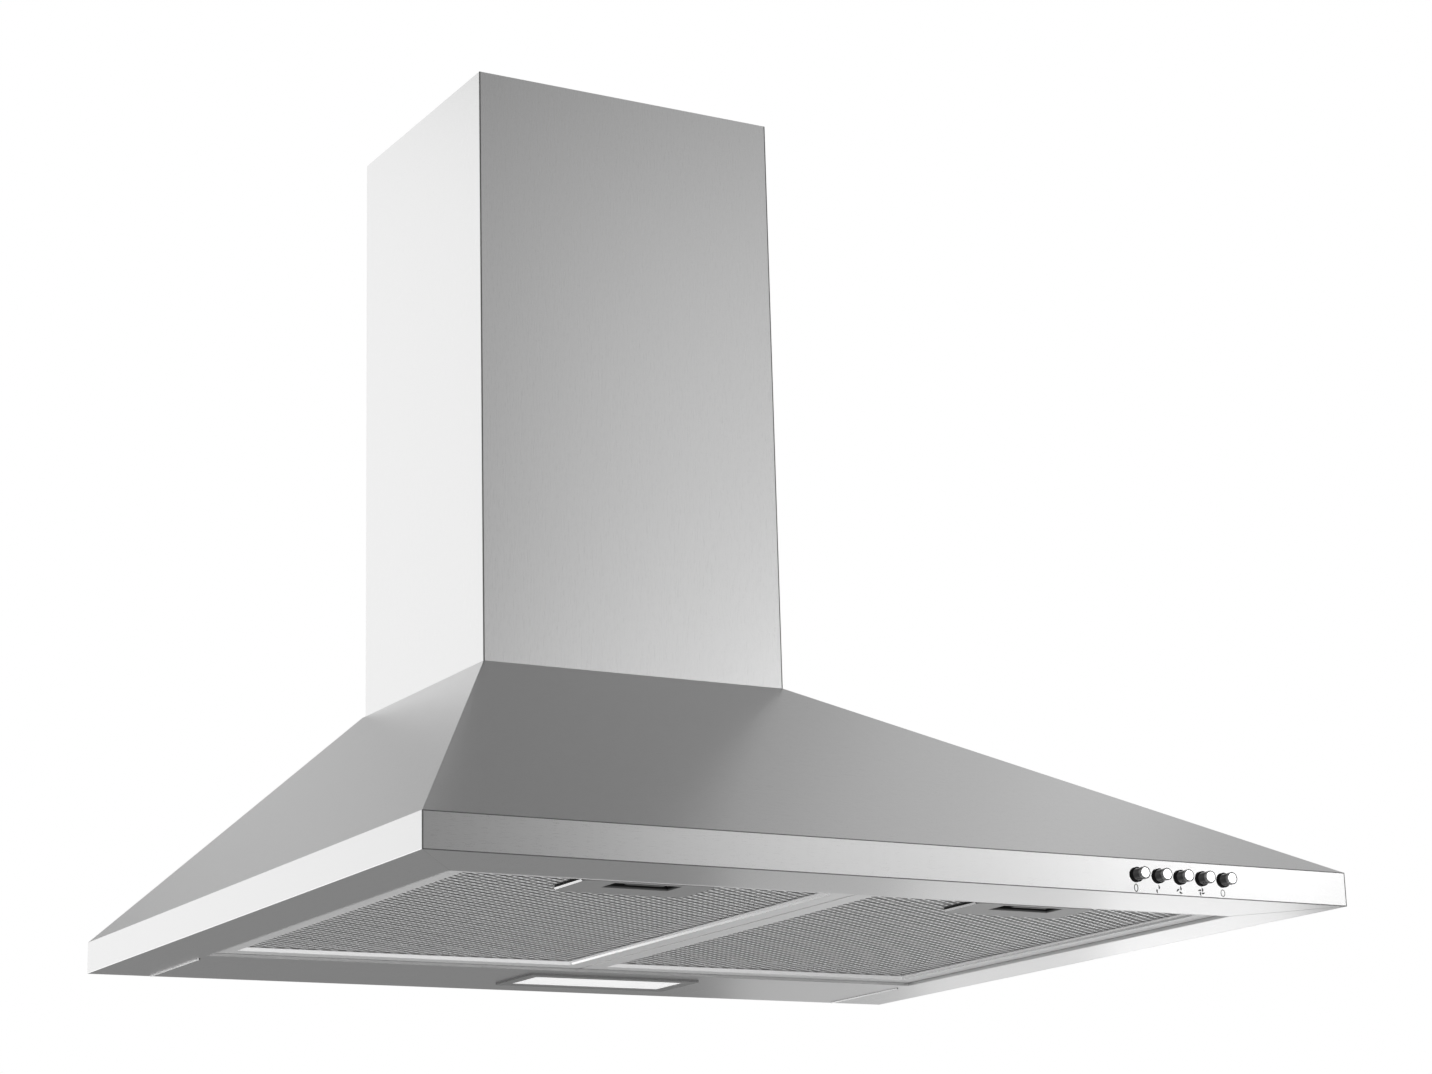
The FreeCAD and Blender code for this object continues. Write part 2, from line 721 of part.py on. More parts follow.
def button_place(body, index):
    """Puts a turned piece on a button's axis, with its own Y pointing out of the fascia."""
    body.Placement.Rotation = FreeCAD.Rotation(FreeCAD.Vector(0, 0, 1), 180)
    return put(body, f"first_button + {index} * button_pitch", "-hood_depth", "button_rise")


def buttons():
    bushes = []
    neck = "button_reach - cap_length"
    for i, name in enumerate(BUTTONS):
        bush = new_body(f"bush_{name}")
        bore = "button_diameter / 2 + run_clearance"
        turn(bush, polygon((bore, "-bush_length"), ("bush_barrel / 2", "-bush_length"), ("bush_barrel / 2", "0"),
                           ("bush_diameter / 2", "0"), ("bush_diameter / 2", "bush_flange"), (bore, "bush_flange")))
        bushes.append(button_place(bush, i))
        stem = new_body(f"stem_{name}")
        turn(stem, polygon(("0", "-bush_length"), ("button_diameter / 2", "-bush_length"),
                           ("button_diameter / 2", neck), ("0", neck)))
        across = ("-plunger_width / 2", "plunger_width / 2")
        pad(stem, "XZ_Plane", "bush_length", "bush_length + plunger_length", rectangle(across, across))
        keep(f"{name}_button_stem", button_place(stem, i))
        cap = new_body(f"cap_{name}")
        turn(cap, polygon(("0", neck), ("cap_diameter / 2", neck), ("cap_diameter / 2", "button_reach"),
                          ("0", "button_reach")))
        keep(f"{name}_button_cap", button_place(cap, i))
    keep("button_bushes", group("button_bush_group", bushes))


def switch_block():
    body = new_body("switch_block_body")
    left, right = "first_button - switch_margin", "last_button + switch_margin"
    top = "sheet + switch_height"
    pad(body, "XZ_Plane", "switch_back", "switch_front", rectangle((left, right), ("sheet", top)))
    for start, end in ((left, left + " + switch_ear"), (right + " - switch_ear", right)):
        pad(body, "XZ_Plane", "switch_front", "hood_depth - sheet", rectangle((start, end), ("sheet", top)))
    half = "(plunger_width / 2 + run_clearance)"
    slots = []
    for i in range(BUTTON_COUNT):
        middle = f"first_button + {i} * button_pitch"
        slots.append(rectangle((f"{middle} - {half}", f"{middle} + {half}"),
                               (f"button_rise - {half}", f"button_rise + {half}")))
    depth = "switch_front - plunger_length"
    pocket(body, "XZ_Plane", depth, "switch_front + " + CUT_MARGIN, both(*slots))
    keep("switch_block", body)

    step = f"({right} - ({left})) / {TERMINAL_COUNT}"
    blades = []
    for i in range(TERMINAL_COUNT):
        middle = f"{left} + ({i} + 0.5) * {step}"
        blades.append(block(f"terminal_{i}", (f"{middle} - terminal_width / 2", f"{middle} + terminal_width / 2"),
                            ("-switch_back", "-switch_back + terminal_length"),
                            ("button_rise", "button_rise + terminal_thickness")))
    keep("switch_terminals", group("switch_terminal_group", blades))


# Blower

def volute(wall):
    """Spiral outline of three quarter arcs, each a step smaller, with a straight neck up to the outlet."""
    def draw(sketch):
        radius = number("volute_radius")
        step = number("volute_step")
        axis = number("axis_z")
        centres = ((step / 2, axis + step / 2), (step / 2, axis - step / 2), (-step / 2, axis - step / 2))
        spans = ((-90, 0), (180, 270), (90, 180))
        inset = number("casing_wall") if wall else 0
        arcs = []
        for k, ((x, z), (start, end)) in enumerate(zip(centres, spans)):
            ring = Part.Circle(FreeCAD.Vector(x, z, 0), FreeCAD.Vector(0, 0, 1), radius - k * step - inset)
            arcs.append(sketch.addGeometry(Part.ArcOfCircle(ring, math.radians(start), math.radians(end)), False))
            size = sketch.addConstraint(Sketcher.Constraint("Radius", arcs[k], ring.Radius))
            thinner = " - casing_wall" if wall else ""
            sketch.setExpression(f"Constraints[{size}]", formula(f"volute_radius - {k} * volute_step{thinner}"))
        right, bottom, left = arcs
        place(sketch, right, 3, "volute_step / 2", "axis_z + volute_step / 2", centres[0])
        for kind, arc, point in (("Vertical", right, 1), ("Horizontal", right, 2), ("Horizontal", bottom, 1),
                                 ("Vertical", bottom, 2), ("Vertical", left, 1), ("Horizontal", left, 2)):
            sketch.addConstraint(Sketcher.Constraint(kind, arc, 3, arc, point))
        sketch.addConstraint(Sketcher.Constraint("Coincident", right, 1, bottom, 2))
        sketch.addConstraint(Sketcher.Constraint("Coincident", bottom, 1, left, 2))
        top = number("outlet_z") + (float(CUT_MARGIN) if wall else 0)
        edge = radius + step / 2 - inset
        lip = axis - step / 2 + radius - 2 * step - inset
        spots = [(edge, axis + step / 2), (edge, top), (-step / 2 + inset, top), (-step / 2 + inset, lip)]
        if wall:
            spots.append((-step / 2, lip))
        corners = [FreeCAD.Vector(x, z, 0) for x, z in spots]
        lines = [sketch.addGeometry(Part.LineSegment(a, b), False) for a, b in zip(corners, corners[1:])]
        sketch.addConstraint(Sketcher.Constraint("Coincident", lines[0], 1, right, 2))
        for a, b in zip(lines, lines[1:]):
            sketch.addConstraint(Sketcher.Constraint("Coincident", a, 2, b, 1))
        sketch.addConstraint(Sketcher.Constraint("Coincident", lines[-1], 2, left, 1))
        for line, kind in zip(lines, ("Vertical", "Horizontal", "Vertical", "Horizontal")):
            sketch.addConstraint(Sketcher.Constraint(kind, line))
        rise = sketch.addConstraint(Sketcher.Constraint("DistanceY", -1, 1, lines[0], 2, top))
        sketch.setExpression(f"Constraints[{rise}]", formula("outlet_z + " + CUT_MARGIN if wall else "outlet_z"))
        if wall:
            throat = sketch.addConstraint(Sketcher.Constraint("DistanceX", -1, 1, lines[2], 1, inset - step / 2))
            sketch.setExpression(f"Constraints[{throat}]", formula("outlet_left + casing_wall"))
    return draw


def foot_screw_place(side, end):
    """Place in plan of one of the four screws that hold the casing's feet on the canopy's top rim."""
    return (f"{side} * (flue_width / 2 - top_rim_side / 2)", f"-(flue_middle + {end} * (foot_gap + foot_depth / 2))")


def casing_half(name, start, end, inner_start, inner_end, foot, end_sign):
    """Half of the spiral casing: its wall, one side with the inlet, and two feet."""
    body = new_body(name + "_body")
    pad(body, "XZ_Plane", start, end, volute(False))
    foot_end = "flue_inner - foot_clearance"
    for x0, x1 in ((f"-({foot_end})", "-(volute_radius - 2 * volute_step)"),
                   ("volute_radius - volute_step", foot_end)):
        pad(body, "XZ_Plane", foot[0], foot[1], rectangle((x0, x1), ("canopy_top", "canopy_top + foot_height")))
    pocket(body, "XZ_Plane", inner_start, inner_end, volute(True))
    pocket(body, "XZ_Plane", f"{start} - {CUT_MARGIN}", f"{end} + {CUT_MARGIN}",
           circle("0", "axis_z", "inlet_radius"))
    holes = [circle(*foot_screw_place(side, end_sign), "screw_diameter / 2 + run_clearance") for side in (-1, 1)]
    pocket(body, "XY_Plane", "canopy_top - " + CUT_MARGIN, "canopy_top + foot_height + " + CUT_MARGIN, both(*holes))
    keep(name, body)


def casing():
    near = ("flue_middle - foot_gap - foot_depth", "flue_middle - foot_gap")
    far = ("flue_middle + foot_gap", "flue_middle + foot_gap + foot_depth")
    casing_half("casing_rear_half", "casing_back", "flue_middle", "casing_back + casing_wall",
                "flue_middle + " + CUT_MARGIN, near, -1)
    casing_half("casing_front_half", "flue_middle", "casing_front", "flue_middle - " + CUT_MARGIN,
                "casing_front - casing_wall", far, 1)


def inlet_ring():
    """Flared mouth ring on the front inlet."""
    body = new_body("inlet_ring_body")
    turn(body, polygon(("inlet_radius", "0"), ("inlet_radius + 3 * inlet_lip / 2", "0"),
                       ("inlet_radius + inlet_lip / 2", "inlet_lip"), ("inlet_radius", "inlet_lip / 2")))
    body.Placement.Rotation = FreeCAD.Rotation(FreeCAD.Vector(0, 0, 1), 180)
    keep("inlet_ring", put(body, "0", "-casing_front", "axis_z"))


def impeller():
    """Double-inlet wheel: hub and disc, curved blades on both sides, an end ring at each inlet."""
    body = new_body("impeller_body")
    bore = "shaft_diameter / 2 + press_clearance"
    disc = "impeller_disc / 2"
    turn(body, polygon((bore, "-hub_length"), ("hub_diameter / 2", "-hub_length"), ("hub_diameter / 2", "-" + disc),
                       ("impeller_radius", "-" + disc), ("impeller_radius", disc), (bore, disc)))
    reach = "impeller_front - flue_middle"
    bend = "(blade_inner + blade_depth / 2)"
    rise = f"{BLADE_BEND} * blade_sweep"
    tip = "impeller_radius - blade_edge"
    blade = polygon(("blade_inner", "0"), (bend, rise), (tip, "blade_sweep"),
                    (tip, "blade_sweep + blade_thickness"), (bend, rise + " + blade_thickness"),
                    ("blade_inner", "blade_thickness"))
    blades = pad(body, "XZ_Plane", f"-({reach})", reach, blade)
    wheel = body.newObject("PartDesign::PolarPattern", "impeller_blades")
    wheel.Originals = [blades]
    axis = next(item for item in body.Origin.OriginFeatures if item.Role == "Y_Axis")
    wheel.Axis = (axis, [""])
    wheel.Angle = 360
    wheel.Occurrences = BLADE_COUNT
    body.Tip = wheel
    DOC.recompute()
    for start, end in ((f"-({reach})", f"-({reach}) + impeller_ring"), (f"{reach} - impeller_ring", reach)):
        pad(body, "XZ_Plane", start, end,
            both(circle("0", "0", "impeller_radius"), circle("0", "0", "blade_inner - blade_edge")))
    put(body, "0", "-flue_middle", "axis_z")
    keep("impeller", body)


def motor():
    can = new_body("motor_body_body")
    bore = "shaft_diameter / 2 + run_clearance"
    radius = "motor_radius"
    well = "casing_back + motor_end_wall"
    turn(can, polygon(("0", "casing_back"), (radius, "casing_back"), (radius, "motor_front - motor_bevel"),
                      (f"{radius} - motor_bevel", "motor_front"), ("motor_boss_diameter / 2", "motor_front"),
                      ("motor_boss_diameter / 2", "motor_front + motor_boss_length"),
                      (bore, "motor_front + motor_boss_length"), (bore, well), ("0", well)))
    can.Placement.Rotation = FreeCAD.Rotation(FreeCAD.Vector(0, 0, 1), 180)
    keep("motor_body", put(can, "0", "0", "axis_z"))

    shaft = new_body("motor_shaft_body")
    shaft_end = "flue_middle + hub_length + nut_length"
    shaft_start = well + " + motor_hub_gap"
    turn(shaft, polygon(("0", shaft_start), ("shaft_diameter / 2", shaft_start),
                        ("shaft_diameter / 2", shaft_end), ("0", shaft_end)))
    shaft.Placement.Rotation = FreeCAD.Rotation(FreeCAD.Vector(0, 0, 1), 180)
    keep("motor_shaft", put(shaft, "0", "0", "axis_z"))

    nut = new_body("impeller_nut_body")
    pad(nut, "XZ_Plane", "flue_middle + hub_length", "flue_middle + hub_length + nut_length",
        both(hexagon("0", "axis_z", "nut_width"), circle("0", "axis_z", "shaft_diameter / 2 + press_clearance")))
    keep("impeller_nut", nut)

    spider = new_body("motor_bracket_body")
    outer = "inlet_radius + motor_ring_width"
    back = "casing_back - motor_plate"
    inner = "inlet_radius - motor_ring_lap"
    pad(spider, "XZ_Plane", back, "casing_back", both(circle("0", "0", outer), circle("0", "0", inner)))
    arm = pad(spider, "XZ_Plane", back, "casing_back",
              rectangle(("-motor_arm_width / 2", "motor_arm_width / 2"), ("0", "inlet_radius - motor_ring_lap / 2")))
    spokes = spider.newObject("PartDesign::PolarPattern", "motor_bracket_arms")
    spokes.Originals = [arm]
    axis = next(item for item in spider.Origin.OriginFeatures if item.Role == "Y_Axis")
    spokes.Axis = (axis, [""])
    spokes.Angle = 360
    spokes.Occurrences = MOTOR_ARMS
    spider.Tip = spokes
    DOC.recompute()
    pad(spider, "XZ_Plane", back, "casing_back", circle("0", "0", "motor_radius - motor_bevel"))
    keep("motor_bracket", put(spider, "0", "0", "axis_z"))


# Duct outlet

def duct_outlet():
    adapter = DOC.addObject("Part::Feature", "outlet_adapter_transition")
    hollow = transition(number("casing_wall"), number("adapter_wall"))
    adapter.Shape = transition(0, 0).cut(hollow)
    keep("outlet_adapter", adapter)

    collar = new_body("duct_collar_body")
    inner = "collar_radius - collar_wall"
    stop_top = "flap_rise - flap_drop - flap_thickness - slide_clearance"
    turn(collar, polygon((inner, "0"), ("collar_radius", "0"), ("collar_radius", "collar_height"),
                         (inner, "collar_height")))
    for start, end in ((f"{inner} - flap_stop", "collar_radius - collar_wall / 2"),
                       ("-(collar_radius - collar_wall / 2)", f"-({inner} - flap_stop)")):
        pad(collar, "XZ_Plane", f"-({stop_top})", f"-({stop_top} - flap_stop)",
            rectangle((start, end), ("-flap_stop", "flap_stop")))
    pocket(collar, "XY_Plane", "-2 * collar_radius", "2 * collar_radius",
           circle("0", "flap_rise", "pin_diameter / 2 + press_clearance"))
    collar.Placement.Rotation = FreeCAD.Rotation(FreeCAD.Vector(1, 0, 0), 90)
    keep("duct_collar", put(collar, "0", "-flue_middle", "collar_low"))

    keep("damper_pin", rod("damper_pin_rod", "y", ("0", "-(flue_middle - collar_radius)", "flap_axis"),
                           "2 * collar_radius", "pin_diameter / 2"))
    for side, sign in SIDES.items():
        damper_flap(side, sign)


def flat_face(corners):
    return Part.Face(Part.makePolygon(corners + corners[:1]))


def transition(base_inset, top_inset):
    """Solid from the casing's oblong outlet to the round collar, its skin folded into flat triangles."""
    middle = (number("outlet_left") + number("outlet_right")) / 2
    wide = (number("outlet_right") - number("outlet_left")) / 2 - base_inset
    deep = number("casing_half") - base_inset
    radius = number("collar_radius") - top_inset
    centre_y = -number("flue_middle")
    low, high = [], []
    for i in range(ADAPTER_STRIPS):
        angle = 2 * math.pi * i / ADAPTER_STRIPS
        across, along = math.cos(angle), math.sin(angle)
        square = max(abs(across), abs(along))
        low.append(FreeCAD.Vector(middle + across / square * wide, centre_y + along / square * deep,
                                  number("outlet_z")))
        high.append(FreeCAD.Vector(across * radius, centre_y + along * radius, number("collar_low")))
    faces = [flat_face(low), flat_face(high)]
    for i in range(ADAPTER_STRIPS):
        following = (i + 1) % ADAPTER_STRIPS
        faces.append(flat_face([low[i], low[following], high[i]]))
        faces.append(flat_face([low[following], high[following], high[i]]))
    solid = Part.makeSolid(Part.makeShell(faces))
    if solid.Volume < 0:
        solid.reverse()
    return solid


def damper_flap(side, sign):
    """Half-disc back-draught flap with its own hinge barrels on the shared pin."""
    body = new_body(f"damper_flap_{side}_body")
    low = "flap_axis - flap_drop - flap_thickness"
    high = "flap_axis - flap_drop"

    pad(body, "XY_Plane", low, high, circle("0", "-flue_middle", "flap_radius"))
    away = ("-2 * flap_radius", "flap_split") if sign > 0 else ("-flap_split", "2 * flap_radius")
    pocket(body, "XY_Plane", f"{low} - {CUT_MARGIN}", f"{high} + {CUT_MARGIN}",
           rectangle(away, ("-(flue_middle + 2 * flap_radius)", "-(flue_middle - 2 * flap_radius)")))
    third = "flap_radius / 3"
    reach = f"{BARREL_REACH} * flap_radius"
    if sign > 0:
        spans = [(f"-{third} + barrel_gap", f"{third} - barrel_gap")]
    else:
        spans = [(f"-{reach}", f"-{third} - barrel_gap"), (f"{third} + barrel_gap", reach)]
    for start, end in spans:
        near, far = f"flue_middle + {start}", f"flue_middle + {end}"
        x0, x1 = ("0", "flap_split + flap_thickness") if sign > 0 else ("-(flap_split + flap_thickness)", "0")
        pad(body, "XZ_Plane", near, far, rectangle((x0, x1), (low, high)))
        pad(body, "XZ_Plane", near, far, circle("0", "flap_axis", "flap_barrel / 2"))
    pocket(body, "XZ_Plane", "flue_middle - collar_radius", "flue_middle + collar_radius",
           circle("0", "flap_axis", "pin_diameter / 2 + run_clearance"))
    keep(f"damper_flap_{side}", body)


# Wiring

def wiring():
    left, right = "wiring_x - wiring_width / 2", "wiring_x + wiring_width / 2"
    top = "wiring_low + wiring_height"
    front = "sheet + wiring_depth"
    box = new_body("wiring_box_body")
    pad(box, "XZ_Plane", "sheet", front, rectangle((left, right), ("wiring_low", top)))
    pocket(box, "XZ_Plane", "sheet + wiring_wall", f"{front} + {CUT_MARGIN}",
           rectangle((left + " + wiring_wall", right + " - wiring_wall"),
                     ("wiring_low + wiring_wall", top + " - wiring_wall")))
    middle_y = "-(sheet + wiring_depth / 2)"
    pocket(box, "XY_Plane", top + " - 2 * wiring_wall", f"{top} + {CUT_MARGIN}",
           circle("wiring_x", middle_y, "gland_bore / 2"))
    keep("wiring_box", box)

    lid = new_body("wiring_box_lid_body")
    pad(lid, "XZ_Plane", front, front + " + wiring_wall", rectangle((left, right), ("wiring_low", top)))
    keep("wiring_box_lid", lid)

    gland = new_body("cable_gland_body")
    pad(gland, "XY_Plane", top, top + " + gland_length",
        both(hexagon("wiring_x", middle_y, "gland_diameter"), circle("wiring_x", middle_y, "gland_bore / 2")))
    keep("cable_gland", gland)

    radius = "capacitor_diameter / 2"
    depth = f"sheet + clamp_wall + {radius}"
    keep("capacitor", rod("capacitor_can", "x", ("-capacitor_x - capacitor_length / 2", f"-({depth})", "capacitor_z"),
                          "capacitor_length", radius))
    clamp = new_body("capacitor_clamp_body")
    outer = f"{radius} + clamp_wall"
    pad(clamp, "YZ_Plane", "-capacitor_x - clamp_width / 2", "-capacitor_x + clamp_width / 2",
        circle(f"-({depth})", "capacitor_z", outer))
    pad(clamp, "YZ_Plane", "-capacitor_x - clamp_width / 2", "-capacitor_x + clamp_width / 2",
        rectangle((f"-({depth})", "-sheet"), (f"capacitor_z - {outer}", f"capacitor_z + {outer}")))
    pocket(clamp, "YZ_Plane", "-capacitor_x - clamp_width", "-capacitor_x + clamp_width",
           circle(f"-({depth})", "capacitor_z", f"{radius} + run_clearance"))
    keep("capacitor_clamp", clamp)


# Flue covers

def channel(name, inset, low, high):
    """Sheet folded into a channel that is open to the wall, with a narrow return along each back edge."""
    side = f"(flue_width / 2 - {inset})"
    front = f"(flue_front - {inset})"
    back = f"(flue_wall_gap + {inset})"
    lip = f"(flue_width / 2 - {inset} - flue_return)"
    outline = [(f"-{lip}", f"-{back}"), (f"-{side}", f"-{back}"), (f"-{side}", f"-{front}"), (side, f"-{front}"),
               (side, f"-{back}"), (lip, f"-{back}"), (lip, f"-({back} + sheet)"),
               (f"{side} - sheet", f"-({back} + sheet)"), (f"{side} - sheet", f"-({front} - sheet)"),
               (f"-({side} - sheet)", f"-({front} - sheet)"), (f"-({side} - sheet)", f"-({back} + sheet)"),
               (f"-{lip}", f"-({back} + sheet)")]
    body = new_body(name + "_body")
    pad(body, "XY_Plane", low, high, polygon(*outline))
    keep(name, body)


def flue():
    channel("lower_flue_cover", "0", "canopy_top", "flue_top")
    nested = "(sheet + flue_nest_gap)"
    channel("upper_flue_cover", nested, "canopy_top", "flue_top - flue_top_step")

    high = "flue_top - flue_top_step - bracket_top_gap"
    low = f"{high} - bracket_height"
    seat = f"(flue_wall_gap + {nested} + sheet)"
    reach = "(flue_inner - bracket_side_gap)"
    step = "(flue_inner - bracket_ear)"
    thick = "bracket_plate"
    right = [(f"{step} + {thick}", "0"), (f"{step} + {thick}", f"-{seat}"), (reach, f"-{seat}"),
             (reach, f"-({seat} + {thick})"), (step, f"-({seat} + {thick})"), (step, f"-{thick}")]
    left = [(f"-({x})", y) for x, y in reversed(right)]
    body = new_body("flue_wall_bracket_body")
    pad(body, "XY_Plane", low, high, polygon(*(right + left)))
    holes = [circle(f"{i} * bracket_hole_spacing / 2", f"{high} - bracket_height / 2", "bracket_hole_diameter / 2")
             for i in (-1, 1)]
    pocket(body, "XZ_Plane", "-" + CUT_MARGIN, f"2 * {thick}", both(*holes))
    keep("flue_wall_bracket", body)


def screws():
    """Hex-head screws through the casing's feet and the canopy's top rim."""
    pieces = []
    seat = "canopy_top + foot_height"
    for i in (-1, 1):
        for k in (-1, 1):
            x, y = foot_screw_place(i, k)
            screw = new_body(f"foot_screw_{i + 1}_{k + 1}")
            pad(screw, "XY_Plane", "canopy_top - sheet", seat, circle(x, y, "screw_diameter / 2"))
            pad(screw, "XY_Plane", seat, seat + " + screw_head_height", hexagon(x, y, "screw_head"))
            pieces.append(screw)
    keep("blower_screws", group("blower_screw_group", pieces))


# Checks and files

def check_document():
    DOC.recompute()
    for item in DOC.Objects:
        if "Invalid" in item.State or "Error" in item.State:
            raise RuntimeError(f"{item.Label} failed: {item.State}")
    for label, piece in PARTS.items():
        if piece.Shape.isNull() or not piece.Shape.isValid() or not piece.Shape.Solids:
            raise RuntimeError(f"{label} has no valid solid")


def write_parts():
    os.makedirs("parts", exist_ok=True)
    for label, piece in PARTS.items():
        piece.Shape.exportStep(f"parts/{label}.step")


fill_sheet()
canopy()
lamp_panel()
lamp()
for hand, direction in SIDES.items():
    filter_frame(hand, direction)
    filter_mesh(hand, direction)
    latch(hand, direction)
buttons()
switch_block()
casing()
inlet_ring()
impeller()
motor()
duct_outlet()
wiring()
flue()
screws()
check_document()
write_parts()
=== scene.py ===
import math

import bmesh
import bpy
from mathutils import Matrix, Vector


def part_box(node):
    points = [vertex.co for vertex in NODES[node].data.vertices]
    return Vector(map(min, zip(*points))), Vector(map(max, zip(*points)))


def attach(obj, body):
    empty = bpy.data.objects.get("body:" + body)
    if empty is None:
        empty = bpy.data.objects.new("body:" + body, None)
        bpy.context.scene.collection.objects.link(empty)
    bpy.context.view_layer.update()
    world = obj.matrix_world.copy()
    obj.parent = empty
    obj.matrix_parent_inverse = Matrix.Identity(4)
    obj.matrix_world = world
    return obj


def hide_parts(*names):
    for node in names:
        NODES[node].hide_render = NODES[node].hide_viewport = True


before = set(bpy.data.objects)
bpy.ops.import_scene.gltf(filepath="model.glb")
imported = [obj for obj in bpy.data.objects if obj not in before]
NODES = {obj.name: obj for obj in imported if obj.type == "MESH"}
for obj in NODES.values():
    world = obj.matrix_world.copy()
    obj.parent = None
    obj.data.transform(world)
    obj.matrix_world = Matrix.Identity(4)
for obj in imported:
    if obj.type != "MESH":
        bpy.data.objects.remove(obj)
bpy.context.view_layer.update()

BUTTONS = ("off", "speed_one", "speed_two", "speed_three", "light")
HANDS = ("left", "right")
MM = 0.001
FASCIA_HEIGHT = 20 * MM
RIM_FRONT = 58 * MM
FRAME_BORDER = 15 * MM


# Material helpers

def shader_inputs(material):
    return material.node_tree.nodes["Principled BSDF"].inputs


def new_material(name, colour, roughness, metallic=0.0):
    material = bpy.data.materials.new(name)
    material.use_nodes = True
    inputs = shader_inputs(material)
    inputs["Base Color"].default_value = (*colour, 1)
    inputs["Roughness"].default_value = roughness
    inputs["Metallic"].default_value = metallic
    return material


def add_noise(material, stretch, scale, detail=3.0):
    """Noise over the object's own coordinates, stretched along each axis."""
    nodes, links = material.node_tree.nodes, material.node_tree.links
    place = nodes.new("ShaderNodeTexCoord")
    fit = nodes.new("ShaderNodeMapping")
    fit.inputs["Scale"].default_value = stretch
    field = nodes.new("ShaderNodeTexNoise")
    field.inputs["Scale"].default_value = scale
    field.inputs["Detail"].default_value = detail
    links.new(place.outputs["Object"], fit.inputs["Vector"])
    links.new(fit.outputs["Vector"], field.inputs["Vector"])
    return field.outputs["Fac"]


def vary_colour(material, field, dark, light):
    """Blends the base colour from dark to light by a field."""
    nodes, links = material.node_tree.nodes, material.node_tree.links
    blend = nodes.new("ShaderNodeMix")
    blend.data_type = "RGBA"
    blend.inputs["A"].default_value = (*dark, 1)
    blend.inputs["B"].default_value = (*light, 1)
    links.new(field, blend.inputs["Factor"])
    links.new(blend.outputs["Result"], shader_inputs(material)["Base Color"])


def shade_colour(material, field, shade):
    """Blends the base colour from the shade, where the field is 0, to what it is now, where it is 1."""
    nodes, links = material.node_tree.nodes, material.node_tree.links
    base = shader_inputs(material)["Base Color"]
    lit = base.links[0].from_socket
    blend = nodes.new("ShaderNodeMix")
    blend.data_type = "RGBA"
    blend.inputs["A"].default_value = (*grey(shade), 1)
    links.new(field, blend.inputs["Factor"])
    links.new(lit, blend.inputs["B"])
    links.new(blend.outputs["Result"], base)


def vary_roughness(material, field, low, high):
    nodes, links = material.node_tree.nodes, material.node_tree.links
    ramp = nodes.new("ShaderNodeMapRange")
    ramp.inputs["From Min"].default_value = 0.3
    ramp.inputs["From Max"].default_value = 0.7
    ramp.inputs["To Min"].default_value = low
    ramp.inputs["To Max"].default_value = high
    links.new(field, ramp.inputs["Value"])
    links.new(ramp.outputs["Result"], shader_inputs(material)["Roughness"])


def add_bump(material, field, strength, distance):
    nodes, links = material.node_tree.nodes, material.node_tree.links
    bump = nodes.new("ShaderNodeBump")
    bump.inputs["Strength"].default_value = strength
    bump.inputs["Distance"].default_value = distance
    links.new(field, bump.inputs["Height"])
    links.new(bump.outputs["Normal"], shader_inputs(material)["Normal"])


def grey(value):
    return (value, value, value)


def scaled(colour, factor):
    return tuple(min(1.0, channel * factor) for channel in colour)


# Materials

def brushed_steel(name, stretch, value=0.74, rough=(0.27, 0.3)):
    """Stainless sheet with very fine long brush lines."""
    material = new_material(name, grey(value), rough[0], 1.0)
    lines = add_noise(material, stretch, 260, 4)
    vary_colour(material, lines, grey(value - 0.01), grey(value + 0.01))
    vary_roughness(material, lines, *rough)
    add_bump(material, lines, 0.012, 0.0001)
    return material


def cast_metal(name, value, rough, scale, metallic=1.0):
    """Metal with a fine, directionless mottle."""
    material = new_material(name, grey(value), rough, metallic)
    mottle = add_noise(material, (1, 1, 1), scale)
    vary_colour(material, mottle, grey(value * 0.92), grey(min(1, value * 1.06)))
    vary_roughness(material, mottle, rough - 0.05, rough + 0.07)
    return material


def plastic(name, colour, rough, scale=1400, bump=0.12):
    """Moulded plastic with a fine grain."""
    material = new_material(name, colour, rough)
    grain = add_noise(material, (1, 1, 1), scale)
    vary_colour(material, grain, scaled(colour, 0.92), scaled(colour, 1.06))
    vary_roughness(material, grain, rough - 0.04, rough + 0.06)
    add_bump(material, grain, bump, 0.0002)
    return material


def frosted_lens():
    """White lens that scatters a little light, with a faint glow painted in to brighten it; no lamp in
    the scene lights it.
    """
    material = plastic("frosted_lens", grey(0.9), 0.35, 900, 0.05)
    inputs = shader_inputs(material)
    inputs["Subsurface Weight"].default_value = 0.3
    inputs["Subsurface Radius"].default_value = (4 * MM, 4 * MM, 4 * MM)
    # painted glow: a faint emission that brightens the lens
    inputs["Emission Color"].default_value = (1, 1, 1, 1)
    inputs["Emission Strength"].default_value = 0.38
    return material


def gloss_black():
    """Lacquered black of the button stems."""
    material = plastic("gloss_black", grey(0.006), 0.16, 700, 0.02)
    inputs = shader_inputs(material)
    inputs["Coat Weight"].default_value = 1.0
    inputs["Coat IOR"].default_value = 1.5
    inputs["Coat Roughness"].default_value = 0.08
    return material


def matt_black():
    """Dull black of the button bushes."""
    material = plastic("matt_black", grey(0.006), 0.5, 700, 0.02)
    shader_inputs(material)["Specular IOR Level"].default_value = 0.08
    return material


